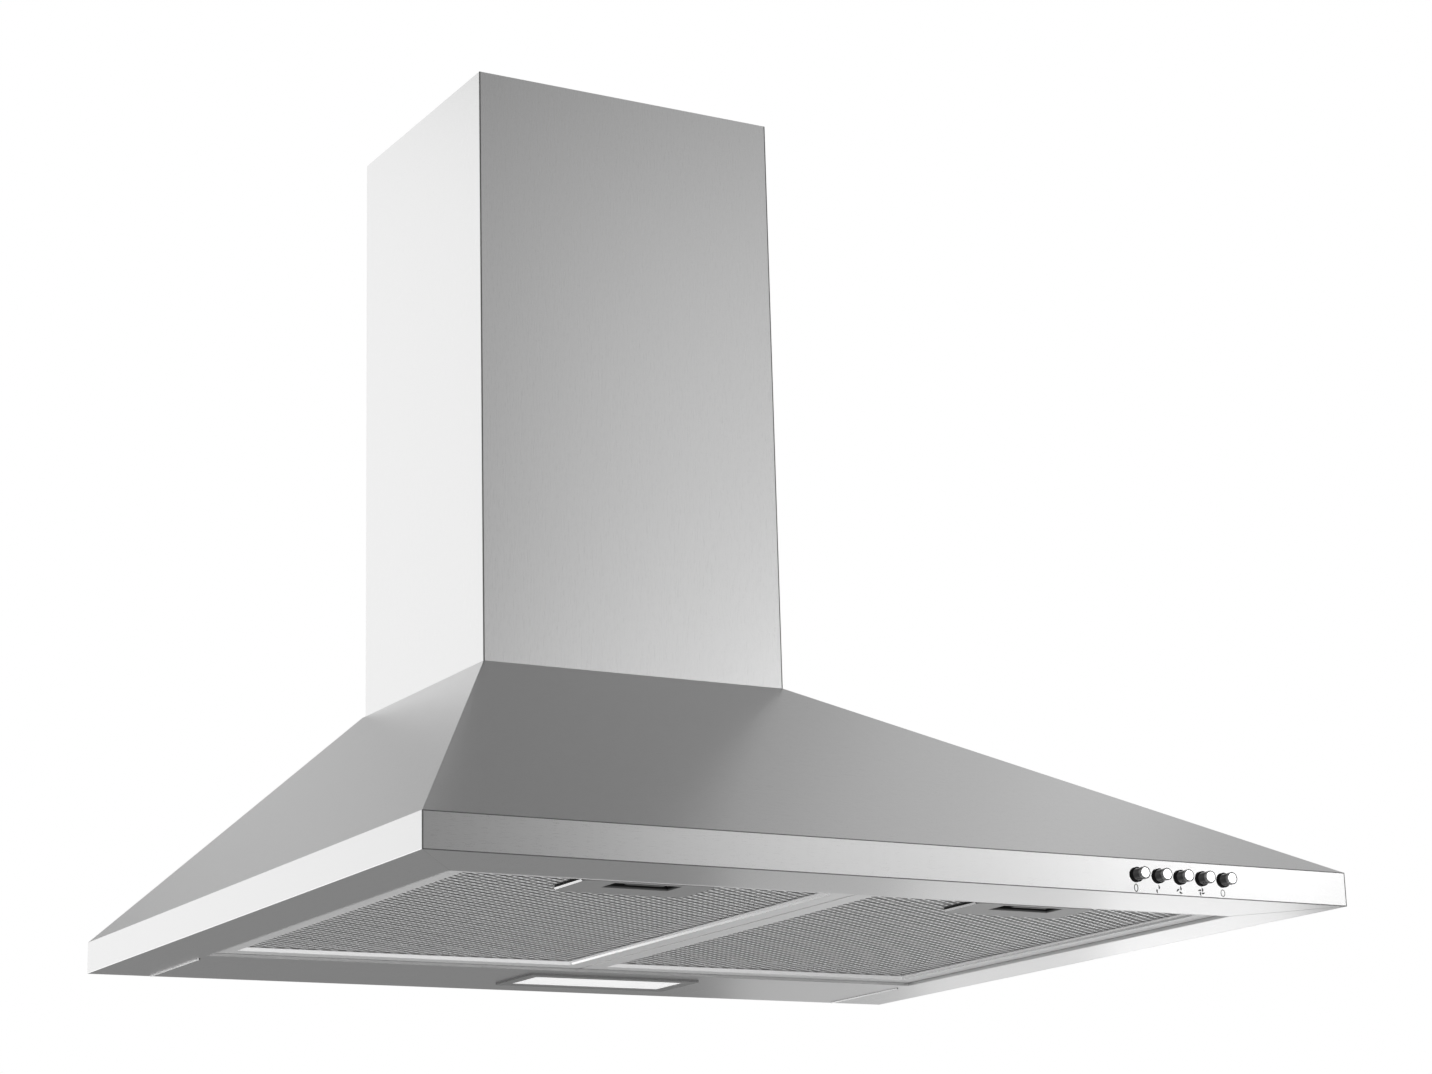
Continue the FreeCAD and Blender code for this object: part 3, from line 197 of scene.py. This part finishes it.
def chrome_cap():
    """Polished cap: a bright round face along -Y inside a dark ring of painted shade that stands for a
    turned groove, and a barrel painted a darker grey as shade.
    """
    material = new_material("chrome_cap", grey(0.9), 0.14, 1.0)
    # painted shade by radius: a dark ring round the face and a darker barrel on the same chrome
    face, groove_shade, barrel_shade = 0.95, 0.03, 0.35
    vary_roughness(material, add_noise(material, (1, 1, 1), 300), 0.09, 0.2)
    nodes, links = material.node_tree.nodes, material.node_tree.links
    place = nodes.new("ShaderNodeTexCoord")
    spread = nodes.new("ShaderNodeMapping")
    spread.inputs["Location"].default_value = (-1, 0, -1)
    spread.inputs["Scale"].default_value = (2, 0, 2)
    radius = nodes.new("ShaderNodeVectorMath")
    radius.operation = "LENGTH"
    tones = nodes.new("ShaderNodeValToRGB")
    stops = tones.color_ramp.elements
    stops[0].color = (*grey(face), 1)
    stops[1].color = (*grey(barrel_shade), 1)
    for share, tone in ((0.77, face), (0.8, groove_shade), (0.97, groove_shade), (0.985, barrel_shade)):
        stops.new(share).color = (*grey(tone), 1)
    links.new(place.outputs["Generated"], spread.inputs["Vector"])
    links.new(spread.outputs["Vector"], radius.inputs[0])
    links.new(radius.outputs["Value"], tones.inputs["Fac"])
    links.new(tones.outputs["Color"], shader_inputs(material)["Base Color"])
    return material


def latch_plastic():
    """Grey plate whose finger recess, deeper than the plate is thick, falls into shade."""
    material = plastic("latch_grey", grey(0.27), 0.4)
    nodes, links = material.node_tree.nodes, material.node_tree.links
    place = nodes.new("ShaderNodeTexCoord")
    split = nodes.new("ShaderNodeSeparateXYZ")
    lit = nodes.new("ShaderNodeMapRange")
    lit.inputs["From Min"].default_value = 3.4 * MM
    lit.inputs["From Max"].default_value = 2.2 * MM
    links.new(place.outputs["Object"], split.inputs["Vector"])
    links.new(split.outputs["Z"], lit.inputs["Value"])
    shade_colour(material, lit.outputs["Result"], 0.012)
    return material


def layer_metal():
    """Inner sheet of a filter: bare metal on top, with painted shade on faces turned away from up,
    darkest towards the lower mesh.
    """
    material = plastic("layer_metal", grey(0.6), 0.6, 900, 0.05)
    nodes, links = material.node_tree.nodes, material.node_tree.links
    facing = nodes.new("ShaderNodeTexCoord")
    split = nodes.new("ShaderNodeSeparateXYZ")
    links.new(facing.outputs["Normal"], split.inputs["Vector"])
    # painted shade: darker where the normal turns away from up
    shade_colour(material, split.outputs["Z"], 0.02)
    return material


def make_materials():
    along_x = (0.4, 60, 60)
    along_z = (60, 60, 0.4)
    return {
        "canopy_steel": brushed_steel("canopy_steel", along_x),
        "flue_steel": brushed_steel("flue_steel", along_z),
        "panel_steel": brushed_steel("panel_steel", along_x, 0.72),
        # painted dark reflection: a darker steel for the strips along the sheet's bends
        "fold_dark_reflection": cast_metal("fold_dark_reflection", 0.2, 0.42, 400),
        "seam_steel": cast_metal("seam_steel", 0.58, 0.35, 400),
        "zinc": cast_metal("zinc", 0.55, 0.42, 160),
        "filter_aluminium": cast_metal("filter_aluminium", 0.84, 0.42, 500, 0.5),
        "mesh_aluminium": cast_metal("mesh_aluminium", 0.94, 0.4, 900, 0.15),
        "chrome_cap": chrome_cap(),
        "bright_steel": cast_metal("bright_steel", 0.66, 0.28, 500),
        "brass": plastic("terminal_brass", (0.66, 0.5, 0.22), 0.35, 400, 0.03),
        "latch_grey": latch_plastic(),
        "latch_dark": plastic("latch_dark", grey(0.05), 0.42),
        "gloss_black": gloss_black(),
        "matt_black": matt_black(),
        "bezel_grey": plastic("bezel_grey", grey(0.22), 0.38),
        "frosted_lens": frosted_lens(),
        "lamp_white": plastic("lamp_white", (0.8, 0.8, 0.78), 0.45, 600, 0.05),
        "board_white": plastic("board_white", (0.62, 0.66, 0.62), 0.5, 500, 0.05),
        "led_yellow": plastic("led_yellow", (0.85, 0.6, 0.12), 0.25, 800, 0.03),
        "switch_cream": plastic("switch_cream", (0.5, 0.5, 0.47), 0.45),
        "blower_black": plastic("blower_black", (0.014, 0.014, 0.016), 0.48, 700),
        "impeller_grey": plastic("impeller_grey", (0.045, 0.047, 0.053), 0.45, 700),
        "flap_grey": plastic("flap_grey", (0.1, 0.105, 0.11), 0.5, 700),
        "motor_paint": plastic("motor_paint", (0.05, 0.055, 0.06), 0.34, 300, 0.06),
        "capacitor_white": plastic("capacitor_white", (0.75, 0.75, 0.72), 0.3, 300, 0.03),
        "clamp_grey": plastic("clamp_grey", (0.16, 0.16, 0.17), 0.45),
        "print_dark": plastic("print_dark", grey(0.035), 0.5, 900, 0.03),
        # painted highlight: a brighter steel for strips along folds and edges
        "painted_highlight_steel": cast_metal("painted_highlight_steel", 0.9, 0.22, 900),
        "layer_metal": layer_metal(),
    }


MATERIALS = make_materials()
NODE_MATERIAL = {
    "canopy_shell": "canopy_steel", "lower_flue_cover": "flue_steel", "upper_flue_cover": "flue_steel",
    "lamp_panel": "panel_steel", "canopy_back_panel": "zinc",
    "flue_wall_bracket": "zinc", "motor_bracket": "zinc",
    "button_bushes": "matt_black", "lamp_bezel": "bezel_grey", "lamp_lens": "frosted_lens",
    "lamp_housing": "lamp_white", "led_board": "board_white", "led_chips": "led_yellow",
    "switch_block": "switch_cream", "wiring_box": "switch_cream", "wiring_box_lid": "switch_cream",
    "switch_terminals": "brass", "casing_front_half": "blower_black", "casing_rear_half": "blower_black",
    "inlet_ring": "blower_black", "outlet_adapter": "blower_black", "duct_collar": "blower_black",
    "impeller": "impeller_grey", "motor_body": "motor_paint", "motor_shaft": "bright_steel",
    "impeller_nut": "bright_steel", "damper_pin": "bright_steel", "blower_screws": "bright_steel",
    "cable_gland": "gloss_black", "capacitor": "capacitor_white", "capacitor_clamp": "clamp_grey",
}
for hand in HANDS:
    NODE_MATERIAL[f"filter_frame_{hand}"] = "filter_aluminium"
    NODE_MATERIAL[f"filter_mesh_{hand}"] = "mesh_aluminium"
    NODE_MATERIAL[f"latch_bowl_{hand}"] = "latch_grey"
    NODE_MATERIAL[f"latch_slider_{hand}"] = "latch_dark"
    NODE_MATERIAL[f"damper_flap_{hand}"] = "flap_grey"
for key in BUTTONS:
    NODE_MATERIAL[f"{key}_button_stem"] = "gloss_black"
    NODE_MATERIAL[f"{key}_button_cap"] = "chrome_cap"


def paint(piece, name):
    piece.data.materials.clear()
    piece.data.materials.append(MATERIALS[name])


def soften(node, width, segments=2):
    """Small rounds on a CAD node's sharp edges, such as sheet folds and moulded corners."""
    bevel = NODES[node].modifiers.new("soft_edges", "BEVEL")
    bevel.width = width
    bevel.segments = segments
    bevel.limit_method = "ANGLE"
    bevel.angle_limit = math.radians(28)
    flat = NODES[node].modifiers.new("flat_faces", "WEIGHTED_NORMAL")
    flat.weight = 100
    flat.thresh = 0.1


def dress_nodes():
    """Paints each node, rounds the sharp edges, and keeps the buttons out of shadows and reflections."""
    for node, material in NODE_MATERIAL.items():
        paint(NODES[node], material)
    for node in ("canopy_shell", "lower_flue_cover", "lamp_panel"):
        soften(node, 0.35 * MM)
    for hand in HANDS:
        soften(f"filter_frame_{hand}", 0.3 * MM)
        soften(f"latch_bowl_{hand}", 0.3 * MM)
        soften(f"latch_slider_{hand}", 0.3 * MM)
    soften("lamp_bezel", 0.4 * MM)
    soften("lamp_lens", 0.3 * MM)
    soften("button_bushes", 0.5 * MM, 3)
    for key in BUTTONS:
        soften(f"{key}_button_cap", 0.45 * MM, 3)
    hidden = ["button_bushes"]
    for key in BUTTONS:
        hidden += [f"{key}_button_stem", f"{key}_button_cap"]
    for node in hidden:
        NODES[node].visible_shadow = False
        NODES[node].visible_glossy = False


# Pieces that the scene adds

def finish_mesh(name, shape, material, body):
    """Makes a drawn shape into a painted piece that rides on a body."""
    mesh = bpy.data.meshes.new(name)
    shape.to_mesh(mesh)
    shape.free()
    piece = bpy.data.objects.new(name, mesh)
    bpy.context.scene.collection.objects.link(piece)
    paint(piece, material)
    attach(piece, body)
    return piece


def finish_sheet(name, shape, material, body, thickness=0.04 * MM):
    """Makes a drawn sheet into a closed piece of the given thickness."""
    piece = finish_mesh(name, shape, material, body)
    solid = piece.modifiers.new("thickness", "SOLIDIFY")
    solid.thickness = thickness
    solid.offset = 0


# Filter sheets

def expanded_mesh(hand):
    """Fine expanded sheet: rows of staggered diamonds between strands of a three-sided section."""
    bowl_low, bowl_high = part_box(f"latch_bowl_{hand}")
    net_low, net_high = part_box(f"filter_mesh_{hand}")
    margin = 9 * MM
    pitch_x, pitch_y = 10.2 * MM, 6.2 * MM
    gap_share = 0.75
    ridge = 0.3 * MM
    level = net_low.z + 0.3 * MM
    left, right = net_low.x + margin, net_high.x - margin
    front, back = net_low.y + margin, net_high.y - margin
    columns = int((right - left) / pitch_x)
    rows = int((back - front) / pitch_y * 2)
    cup_x = (bowl_low.x + bowl_high.x) / 2
    cup_half = 25 * MM
    cup_back = bowl_low.y + 27 * MM
    weld = 0.02 * MM
    net = bmesh.new()
    corners = ((-1, 0), (0, -1), (1, 0), (0, 1))
    for row in range(rows):
        centre_y = front + (row + 1) * pitch_y / 2
        for column in range(columns):
            centre_x = left + (column + 0.5 + 0.5 * (row % 2)) * pitch_x
            if abs(centre_x - cup_x) < cup_half and centre_y < cup_back:
                continue
            outer, inner, top = [], [], []
            for x, y in corners:
                at_x, at_y = x * pitch_x / 2, y * pitch_y / 2
                gap_x, gap_y = gap_share * at_x, gap_share * at_y
                outer.append(net.verts.new((centre_x + at_x, centre_y + at_y, level)))
                inner.append(net.verts.new((centre_x + gap_x, centre_y + gap_y, level)))
                top.append(net.verts.new((centre_x + at_x, centre_y + at_y, level + ridge)))
            for i in range(4):
                k = (i + 1) % 4
                net.faces.new((outer[i], inner[i], inner[k], outer[k]))
                net.faces.new((inner[i], top[i], top[k], inner[k]))
    bmesh.ops.remove_doubles(net, verts=net.verts, dist=weld)
    name, body = f"expanded_mesh_{hand}", f"filter_{hand}"
    piece = finish_mesh(name, net, "mesh_aluminium", body)
    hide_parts(f"filter_mesh_{hand}")


def inner_layers(hand):
    """Corrugated inner layer of the filter, seen as shade through the gaps of the lower mesh."""
    low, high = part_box(f"filter_mesh_{hand}")
    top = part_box(f"filter_frame_{hand}")[1].z - 0.4 * MM
    wave, depth, thickness = 4 * MM, 1.6 * MM, 0.2 * MM
    left, right = low.x + FRAME_BORDER, high.x - FRAME_BORDER
    front, back = low.y + FRAME_BORDER, high.y - FRAME_BORDER
    count = int((right - left) / wave)
    sheet = bmesh.new()
    edges = []
    for i in range(count + 1):
        x = left + (right - left) * i / count
        z = top - depth * (i % 2)
        edges.append((sheet.verts.new((x, front, z)), sheet.verts.new((x, back, z))))
    for (a, b), (c, d) in zip(edges, edges[1:]):
        sheet.faces.new((a, b, d, c))
    name, body = f"filter_layers_{hand}", f"filter_{hand}"
    finish_sheet(name, sheet, "layer_metal", body, thickness)


# Fold lines of the sheet metal

def fold_strip(shape, start, end, first, second, width=0.55 * MM, lift=0.03 * MM):
    """Narrow strip round a folded edge, over both faces that meet there, given their outward normals."""
    ridge = 1.3 * lift
    along = (end - start).normalized()
    outward = (first + second).normalized()
    down_first = along.cross(first).normalized()
    if down_first.dot(second) > 0:
        down_first = -down_first
    down_second = along.cross(second).normalized()
    if down_second.dot(first) > 0:
        down_second = -down_second
    loops = []
    for spot in (start, end):
        loops.append([shape.verts.new(spot + down_first * width + first * lift),
                      shape.verts.new(spot + outward * ridge),
                      shape.verts.new(spot + down_second * width + second * lift)])
    for i in range(2):
        shape.faces.new((loops[0][i], loops[0][i + 1], loops[1][i + 1], loops[1][i]))


def fold_lines():
    """Lines where the sheet was bent: strips in steel painted dark as the bends' reflection on the
    fascia's edges and corners and on the flue's front corners, and strips painted bright as highlights
    on the canopy's lower side edges.
    """
    low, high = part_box("canopy_shell")
    flue_low, flue_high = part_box("lower_flue_cover")
    lower_edge, upper_edge, side_edge, flue_corner = 0.45 * MM, 0.4 * MM, 0.4 * MM, 0.7 * MM
    side_lift = 0.02 * MM
    fascia_top = low.z + FASCIA_HEIGHT
    front, down = Vector((0, -1, 0)), Vector((0, 0, -1))
    slope_run = flue_low.y - low.y
    slope_rise = high.z - fascia_top
    front_slope = Vector((0, -slope_rise, slope_run)).normalized()
    shape = bmesh.new()
    for z, other, width in ((low.z, down, lower_edge), (fascia_top, front_slope, upper_edge)):
        fold_strip(shape, Vector((low.x, low.y, z)), Vector((high.x, low.y, z)), front, other, width)
    highlight_strips = bmesh.new()
    for side, x in ((-1, low.x), (1, high.x)):
        out = Vector((side, 0, 0))
        corner = Vector((x, low.y, low.z))
        fold_strip(shape, corner, Vector((x, low.y, fascia_top)), out, front)
        fold_strip(highlight_strips, corner, Vector((x, high.y, low.z)), out, down, side_edge, side_lift)
    # dark strips along the fascia's folds: painted dark reflection
    finish_sheet("canopy_fold_lines", shape, "fold_dark_reflection", "hood")
    # bright strips along the lower side edges: painted highlights
    finish_sheet("canopy_bright_folds", highlight_strips, "painted_highlight_steel", "hood")
    shape = bmesh.new()
    for side, x in ((-1, flue_low.x), (1, flue_high.x)):
        foot, head = Vector((x, flue_low.y, flue_low.z)), Vector((x, flue_low.y, flue_high.z))
        fold_strip(shape, foot, head, Vector((side, 0, 0)), front, flue_corner)
    # dark strips on the flue's front corners: painted dark reflection
    finish_sheet("flue_fold_lines", shape, "fold_dark_reflection", "hood")


def flat_strip(shape, start, end, width, level):
    """Narrow strip on the underside between two places in plan."""
    along = (end - start).normalized()
    side = Vector((-along.y, along.x)) * width / 2
    corners = (start - side, end - side, end + side, start + side)
    shape.faces.new([shape.verts.new((spot.x, spot.y, level)) for spot in corners])


def sloped_strip(shape, near, far, front, back):
    """Strip along Y between two places of its section, each given as x and z."""
    corners = ((*near, front), (*near, back), (*far, back), (*far, front))
    shape.faces.new([shape.verts.new((x, y, z)) for x, z, y in corners])


def underside_seams():
    """Mitred corners of the rim, and the beads at the lamp panel's ends and the rim's inner folds, these
    two painted bright as highlights.
    """
    low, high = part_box("canopy_shell")
    panel_low, panel_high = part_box("lamp_panel")
    level = low.z - 0.04 * MM
    rim_back = low.y + RIM_FRONT
    seam, lip_fold = 0.35 * MM, 0.9 * MM
    bead = ((-0.8 * MM, 0), (-0.2 * MM, -0.7 * MM), (0.8 * MM, 0))
    bead_front, bead_back = panel_low.y + 14 * MM, panel_high.y - 2 * MM
    shape = bmesh.new()
    for outer, inner in ((low.x, panel_low.x), (high.x, panel_high.x)):
        flat_strip(shape, Vector((outer, low.y)), Vector((inner, rim_back)), seam, level)
    finish_sheet("rim_mitres", shape, "seam_steel", "hood")
    shape = bmesh.new()
    for x in (panel_low.x, panel_high.x):
        ends = []
        for y in (bead_front, bead_back):
            ends.append([shape.verts.new((x + across, y, level + drop)) for across, drop in bead])
        for i in range(2):
            shape.faces.new((ends[0][i], ends[0][i + 1], ends[1][i + 1], ends[1][i]))
    # the beads, in brighter steel, are painted highlights
    finish_sheet("panel_ends", shape, "painted_highlight_steel", "hood")
    lip = bmesh.new()
    for x, side in ((panel_high.x, 1), (panel_low.x, -1)):
        sloped_strip(lip, (x, lip_fold), (x + side * lip_fold, level), rim_back, panel_low.y)
    # the inner folds, in brighter steel, are painted highlights
    finish_sheet("rim_lip_folds", lip, "painted_highlight_steel", "hood")


def filter_edges():
    """Edges of the filters painted bright as highlights: latch plates' sides, frames' inner bevels and
    their meeting edges.
    """
    corner = 4 * MM
    chamfer = 1.0 * MM
    bevel = 2 * MM
    highlight_width = 1.1 * MM
    meeting = 0.6 * MM
    lift = 0.03 * MM
    for hand in HANDS:
        plate_low, plate_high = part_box(f"latch_bowl_{hand}")
        shape = bmesh.new()
        for x, side in ((plate_low.x, -1), (plate_high.x, 1)):
            sloped_strip(shape, (x, plate_low.z), (x + side * chamfer, plate_low.z + chamfer),
                         plate_low.y + corner, plate_high.y - corner)
        # the plates' side strips, in brighter steel, are painted highlights
        finish_sheet(f"plate_edges_{hand}", shape, "painted_highlight_steel", f"filter_{hand}")
        low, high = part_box(f"filter_frame_{hand}")
        net_low, net_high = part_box(f"filter_mesh_{hand}")
        front, back = net_low.y + FRAME_BORDER, net_high.y - FRAME_BORDER
        under = low.z - lift
        shape = bmesh.new()
        for x, side in ((low.x, 1), (high.x, -1)):
            start = x + side * (FRAME_BORDER - bevel)
            sloped_strip(shape, (start, under), (start + side * highlight_width, under + highlight_width), front, back)
            sloped_strip(shape, (x, under + meeting), (x + side * meeting, under), front, back)
        # the frames' bevel and meeting strips, in brighter steel, are painted highlights
        finish_sheet(f"frame_edges_{hand}", shape, "painted_highlight_steel", f"filter_{hand}")


# Printed signs under the buttons

def ring_sign(shape, x, z, width, height, line):
    """Oval ring of a given line width."""
    count = 28
    loops = []
    for inset in (0, line):
        loop = []
        for i in range(count):
            angle = 2 * math.pi * i / count
            loop.append(shape.verts.new((x + (width / 2 - inset) * math.cos(angle), 0,
                                         z + (height / 2 - inset) * math.sin(angle))))
        loops.append(loop)
    for i in range(count):
        k = (i + 1) % count
        shape.faces.new((loops[0][i], loops[0][k], loops[1][k], loops[1][i]))


def fan_sign(shape, x, z, size, blades):
    """Fan sign: curved blades round a middle, more of them for a higher speed."""
    steps = 6
    first_turn, curl = 0.5, 0.9
    root, length, breadth = 0.12 * size, 0.38 * size, 0.13 * size
    for blade in range(blades):
        turn = 2 * math.pi * blade / blades + first_turn
        near, far = [], []
        for i in range(steps + 1):
            share = i / steps
            reach = root + length * share
            bend = turn + curl * share
            half = breadth * math.sin(math.pi * (0.15 + 0.8 * share))
            middle = Vector((math.cos(bend), math.sin(bend))) * reach
            side = Vector((-math.sin(bend), math.cos(bend))) * half
            near.append(shape.verts.new((x + middle.x - side.x, 0, z + middle.y - side.y)))
            far.append(shape.verts.new((x + middle.x + side.x, 0, z + middle.y + side.y)))
        for i in range(steps):
            shape.faces.new((near[i], near[i + 1], far[i + 1], far[i]))


def button_signs():
    """A zero, three fans and a ring on the fascia, each below its button."""
    shape = bmesh.new()
    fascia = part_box("canopy_shell")[0].y - 0.03 * MM
    height = 3.2 * MM
    zero = (3.0 * MM, 4.8 * MM, 0.55 * MM)
    ring = (3.2 * MM, 4.2 * MM, 0.4 * MM)
    fan_size = 5.0 * MM
    for index, key in enumerate(BUTTONS):
        low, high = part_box(f"{key}_button_stem")
        x = (low.x + high.x) / 2
        if key == "off":
            ring_sign(shape, x, height, *zero)
        elif key == "light":
            ring_sign(shape, x, height, *ring)
        else:
            fan_sign(shape, x, height, fan_size, index + 1)
    for vertex in shape.verts:
        vertex.co.y = fascia
    finish_sheet("button_signs", shape, "print_dark", "hood")


# Studio

# Each lamp's direction from the hood's middle, distance, size and radiance
SOFTBOXES = {
    "front_strip_left": ((0.436, -0.894, 0.105), 2.6, (0.3, 0.6), 1.25),
    "front_strip_middle": ((0.556, -0.824, 0.105), 2.6, (0.3, 0.6), 0.4),
    "front_strip_right": ((0.626, -0.773, 0.105), 2.6, (0.3, 0.6), 3.0),
    "front_right_low": ((0.80, -0.60, 0.05), 2.6, (1.0, 1.4), 0.6),
    "front_high": ((0.55, -0.75, 0.42), 2.6, (1.4, 0.9), 0.36),
    "high_strip_left": ((0.473, -0.819, 0.326), 2.6, (0.35, 0.7), 0.3),
    "high_strip_right": ((0.556, -0.765, 0.326), 2.6, (0.35, 0.7), 0.2),
    "left_back": ((-0.42, 0.90, 0.24), 3.0, (2.2, 2.0), 0.92),
    "under_strip_left": ((0.547, 0.811, -0.208), 2.8, (0.3, 0.7), 0.43),
    "under_strip_middle": ((0.629, 0.749, -0.208), 2.8, (0.3, 0.7), 0.88),
    "under_strip_right": ((0.704, 0.679, -0.208), 2.8, (0.3, 0.7), 1.4),
    "under_strip_far": ((0.791, 0.575, -0.208), 2.8, (0.3, 0.7), 1.0),
    "right_high": ((0.78, 0.42, 0.50), 2.8, (1.2, 1.0), 0.29),
    "right_high_strip": ((0.62, 0.56, 0.55), 2.8, (0.5, 0.9), 0.25),
    "back_right_high": ((0.45, 0.68, 0.58), 2.8, (1.0, 0.9), 0.11),
    "back": ((0.20, 0.92, 0.34), 3.0, (0.9, 0.7), 0.36),
    "back_low": ((-0.14, 0.89, -0.44), 2.6, (0.8, 0.5), 1.2),
    "back_floor": ((-0.158, 0.79, -0.59), 2.0, (0.8, 0.5), 0.35),
    "floor_bounce": ((-0.1, -0.3, -1.0), 1.2, (1.6, 1.6), 0.97),
    "left_front_fill": ((-0.62, -0.72, 0.3), 2.8, (2.0, 1.8), 0.4),
    "left_low_fill": ((-0.75, -0.62, -0.25), 2.8, (1.8, 1.0), 0.4),
    "overhead": ((-0.2, 0.1, 1.0), 2.4, (2.2, 2.2), 0.4),
}


def add_camera():
    """Camera low at the left front, tilted up at the hood."""
    data = bpy.data.cameras.new("photo_camera")
    data.sensor_width = 36
    data.lens = 79.03
    data.clip_end = 50
    camera = bpy.data.objects.new("photo_camera", data)
    camera.location = (-0.947117, -1.95321, -0.259652)
    camera.rotation_euler = (math.radians(104.944), math.radians(1.506), math.radians(-29.436))
    bpy.context.scene.collection.objects.link(camera)
    bpy.context.scene.camera = camera


def add_floor():
    """Pale round floor well below the hood, with a glow that the camera alone sees."""
    radius, drop, glow_strength = 14, 2.4, 0.6
    shape = bmesh.new()
    bmesh.ops.create_circle(shape, cap_ends=True, segments=96, radius=radius)
    mesh = bpy.data.meshes.new("floor")
    shape.to_mesh(mesh)
    shape.free()
    floor = bpy.data.objects.new("floor", mesh)
    floor.location = (0, 0, -drop)
    bpy.context.scene.collection.objects.link(floor)
    material = new_material("floor_paint", grey(0.86), 0.8)
    patches = add_noise(material, (1, 1, 1), 3)
    vary_colour(material, patches, grey(0.85), grey(0.88))
    nodes, links = material.node_tree.nodes, material.node_tree.links
    path = nodes.new("ShaderNodeLightPath")
    glow = nodes.new("ShaderNodeMath")
    glow.operation = "MULTIPLY"
    glow.inputs[1].default_value = glow_strength
    inputs = shader_inputs(material)
    inputs["Emission Color"].default_value = (1, 1, 1, 1)
    links.new(path.outputs["Is Camera Ray"], glow.inputs[0])
    links.new(glow.outputs["Value"], inputs["Emission Strength"])
    floor.data.materials.append(material)


def add_softbox(name, target, direction, distance, size, strength):
    """Rectangular lamp that faces a point from a direction; strength is its radiance."""
    data = bpy.data.lights.new(name, "AREA")
    data.shape = "RECTANGLE"
    data.size, data.size_y = size
    data.energy = strength * math.pi * size[0] * size[1]
    lamp = bpy.data.objects.new(name, data)
    heading = Vector(direction).normalized()
    lamp.location = Vector(target) + heading * distance
    lamp.rotation_euler = heading.to_track_quat("Z", "Y").to_euler()
    lamp.visible_camera = False
    bpy.context.scene.collection.objects.link(lamp)


def add_world():
    """White backdrop for the camera; a darker room in front and a paler one behind light the object."""
    front_tone, back_tone = 0.185, 0.3
    world = bpy.data.worlds.new("studio")
    bpy.context.scene.world = world
    world.use_nodes = True
    nodes, links = world.node_tree.nodes, world.node_tree.links
    nodes.clear()
    output = nodes.new("ShaderNodeOutputWorld")
    room = nodes.new("ShaderNodeBackground")
    backdrop = nodes.new("ShaderNodeBackground")
    backdrop.inputs["Color"].default_value = (1, 1, 1, 1)
    choose = nodes.new("ShaderNodeMixShader")
    path = nodes.new("ShaderNodeLightPath")
    place = nodes.new("ShaderNodeTexCoord")
    split = nodes.new("ShaderNodeSeparateXYZ")
    depth = nodes.new("ShaderNodeMapRange")
    depth.inputs["From Min"].default_value = -1
    depth.inputs["From Max"].default_value = 1
    ramp = nodes.new("ShaderNodeValToRGB")
    ramp.color_ramp.elements[0].color = (*grey(front_tone), 1)
    ramp.color_ramp.elements[1].color = (*grey(back_tone), 1)
    links.new(place.outputs["Generated"], split.inputs["Vector"])
    links.new(split.outputs["Y"], depth.inputs["Value"])
    links.new(depth.outputs["Result"], ramp.inputs["Fac"])
    links.new(ramp.outputs["Color"], room.inputs["Color"])
    links.new(path.outputs["Is Camera Ray"], choose.inputs["Fac"])
    links.new(room.outputs["Background"], choose.inputs[1])
    links.new(backdrop.outputs["Background"], choose.inputs[2])
    links.new(choose.outputs["Shader"], output.inputs["Surface"])


def add_studio():
    add_world()
    add_floor()
    middle = (0, -0.2, 0.2)
    for name, (direction, distance, size, strength) in SOFTBOXES.items():
        add_softbox(name, middle, direction, distance, size, strength)


dress_nodes()
for hand in HANDS:
    expanded_mesh(hand)
    inner_layers(hand)
fold_lines()
underside_seams()
filter_edges()
button_signs()
add_camera()
add_studio()
bpy.context.scene.view_settings.view_transform = "Standard"
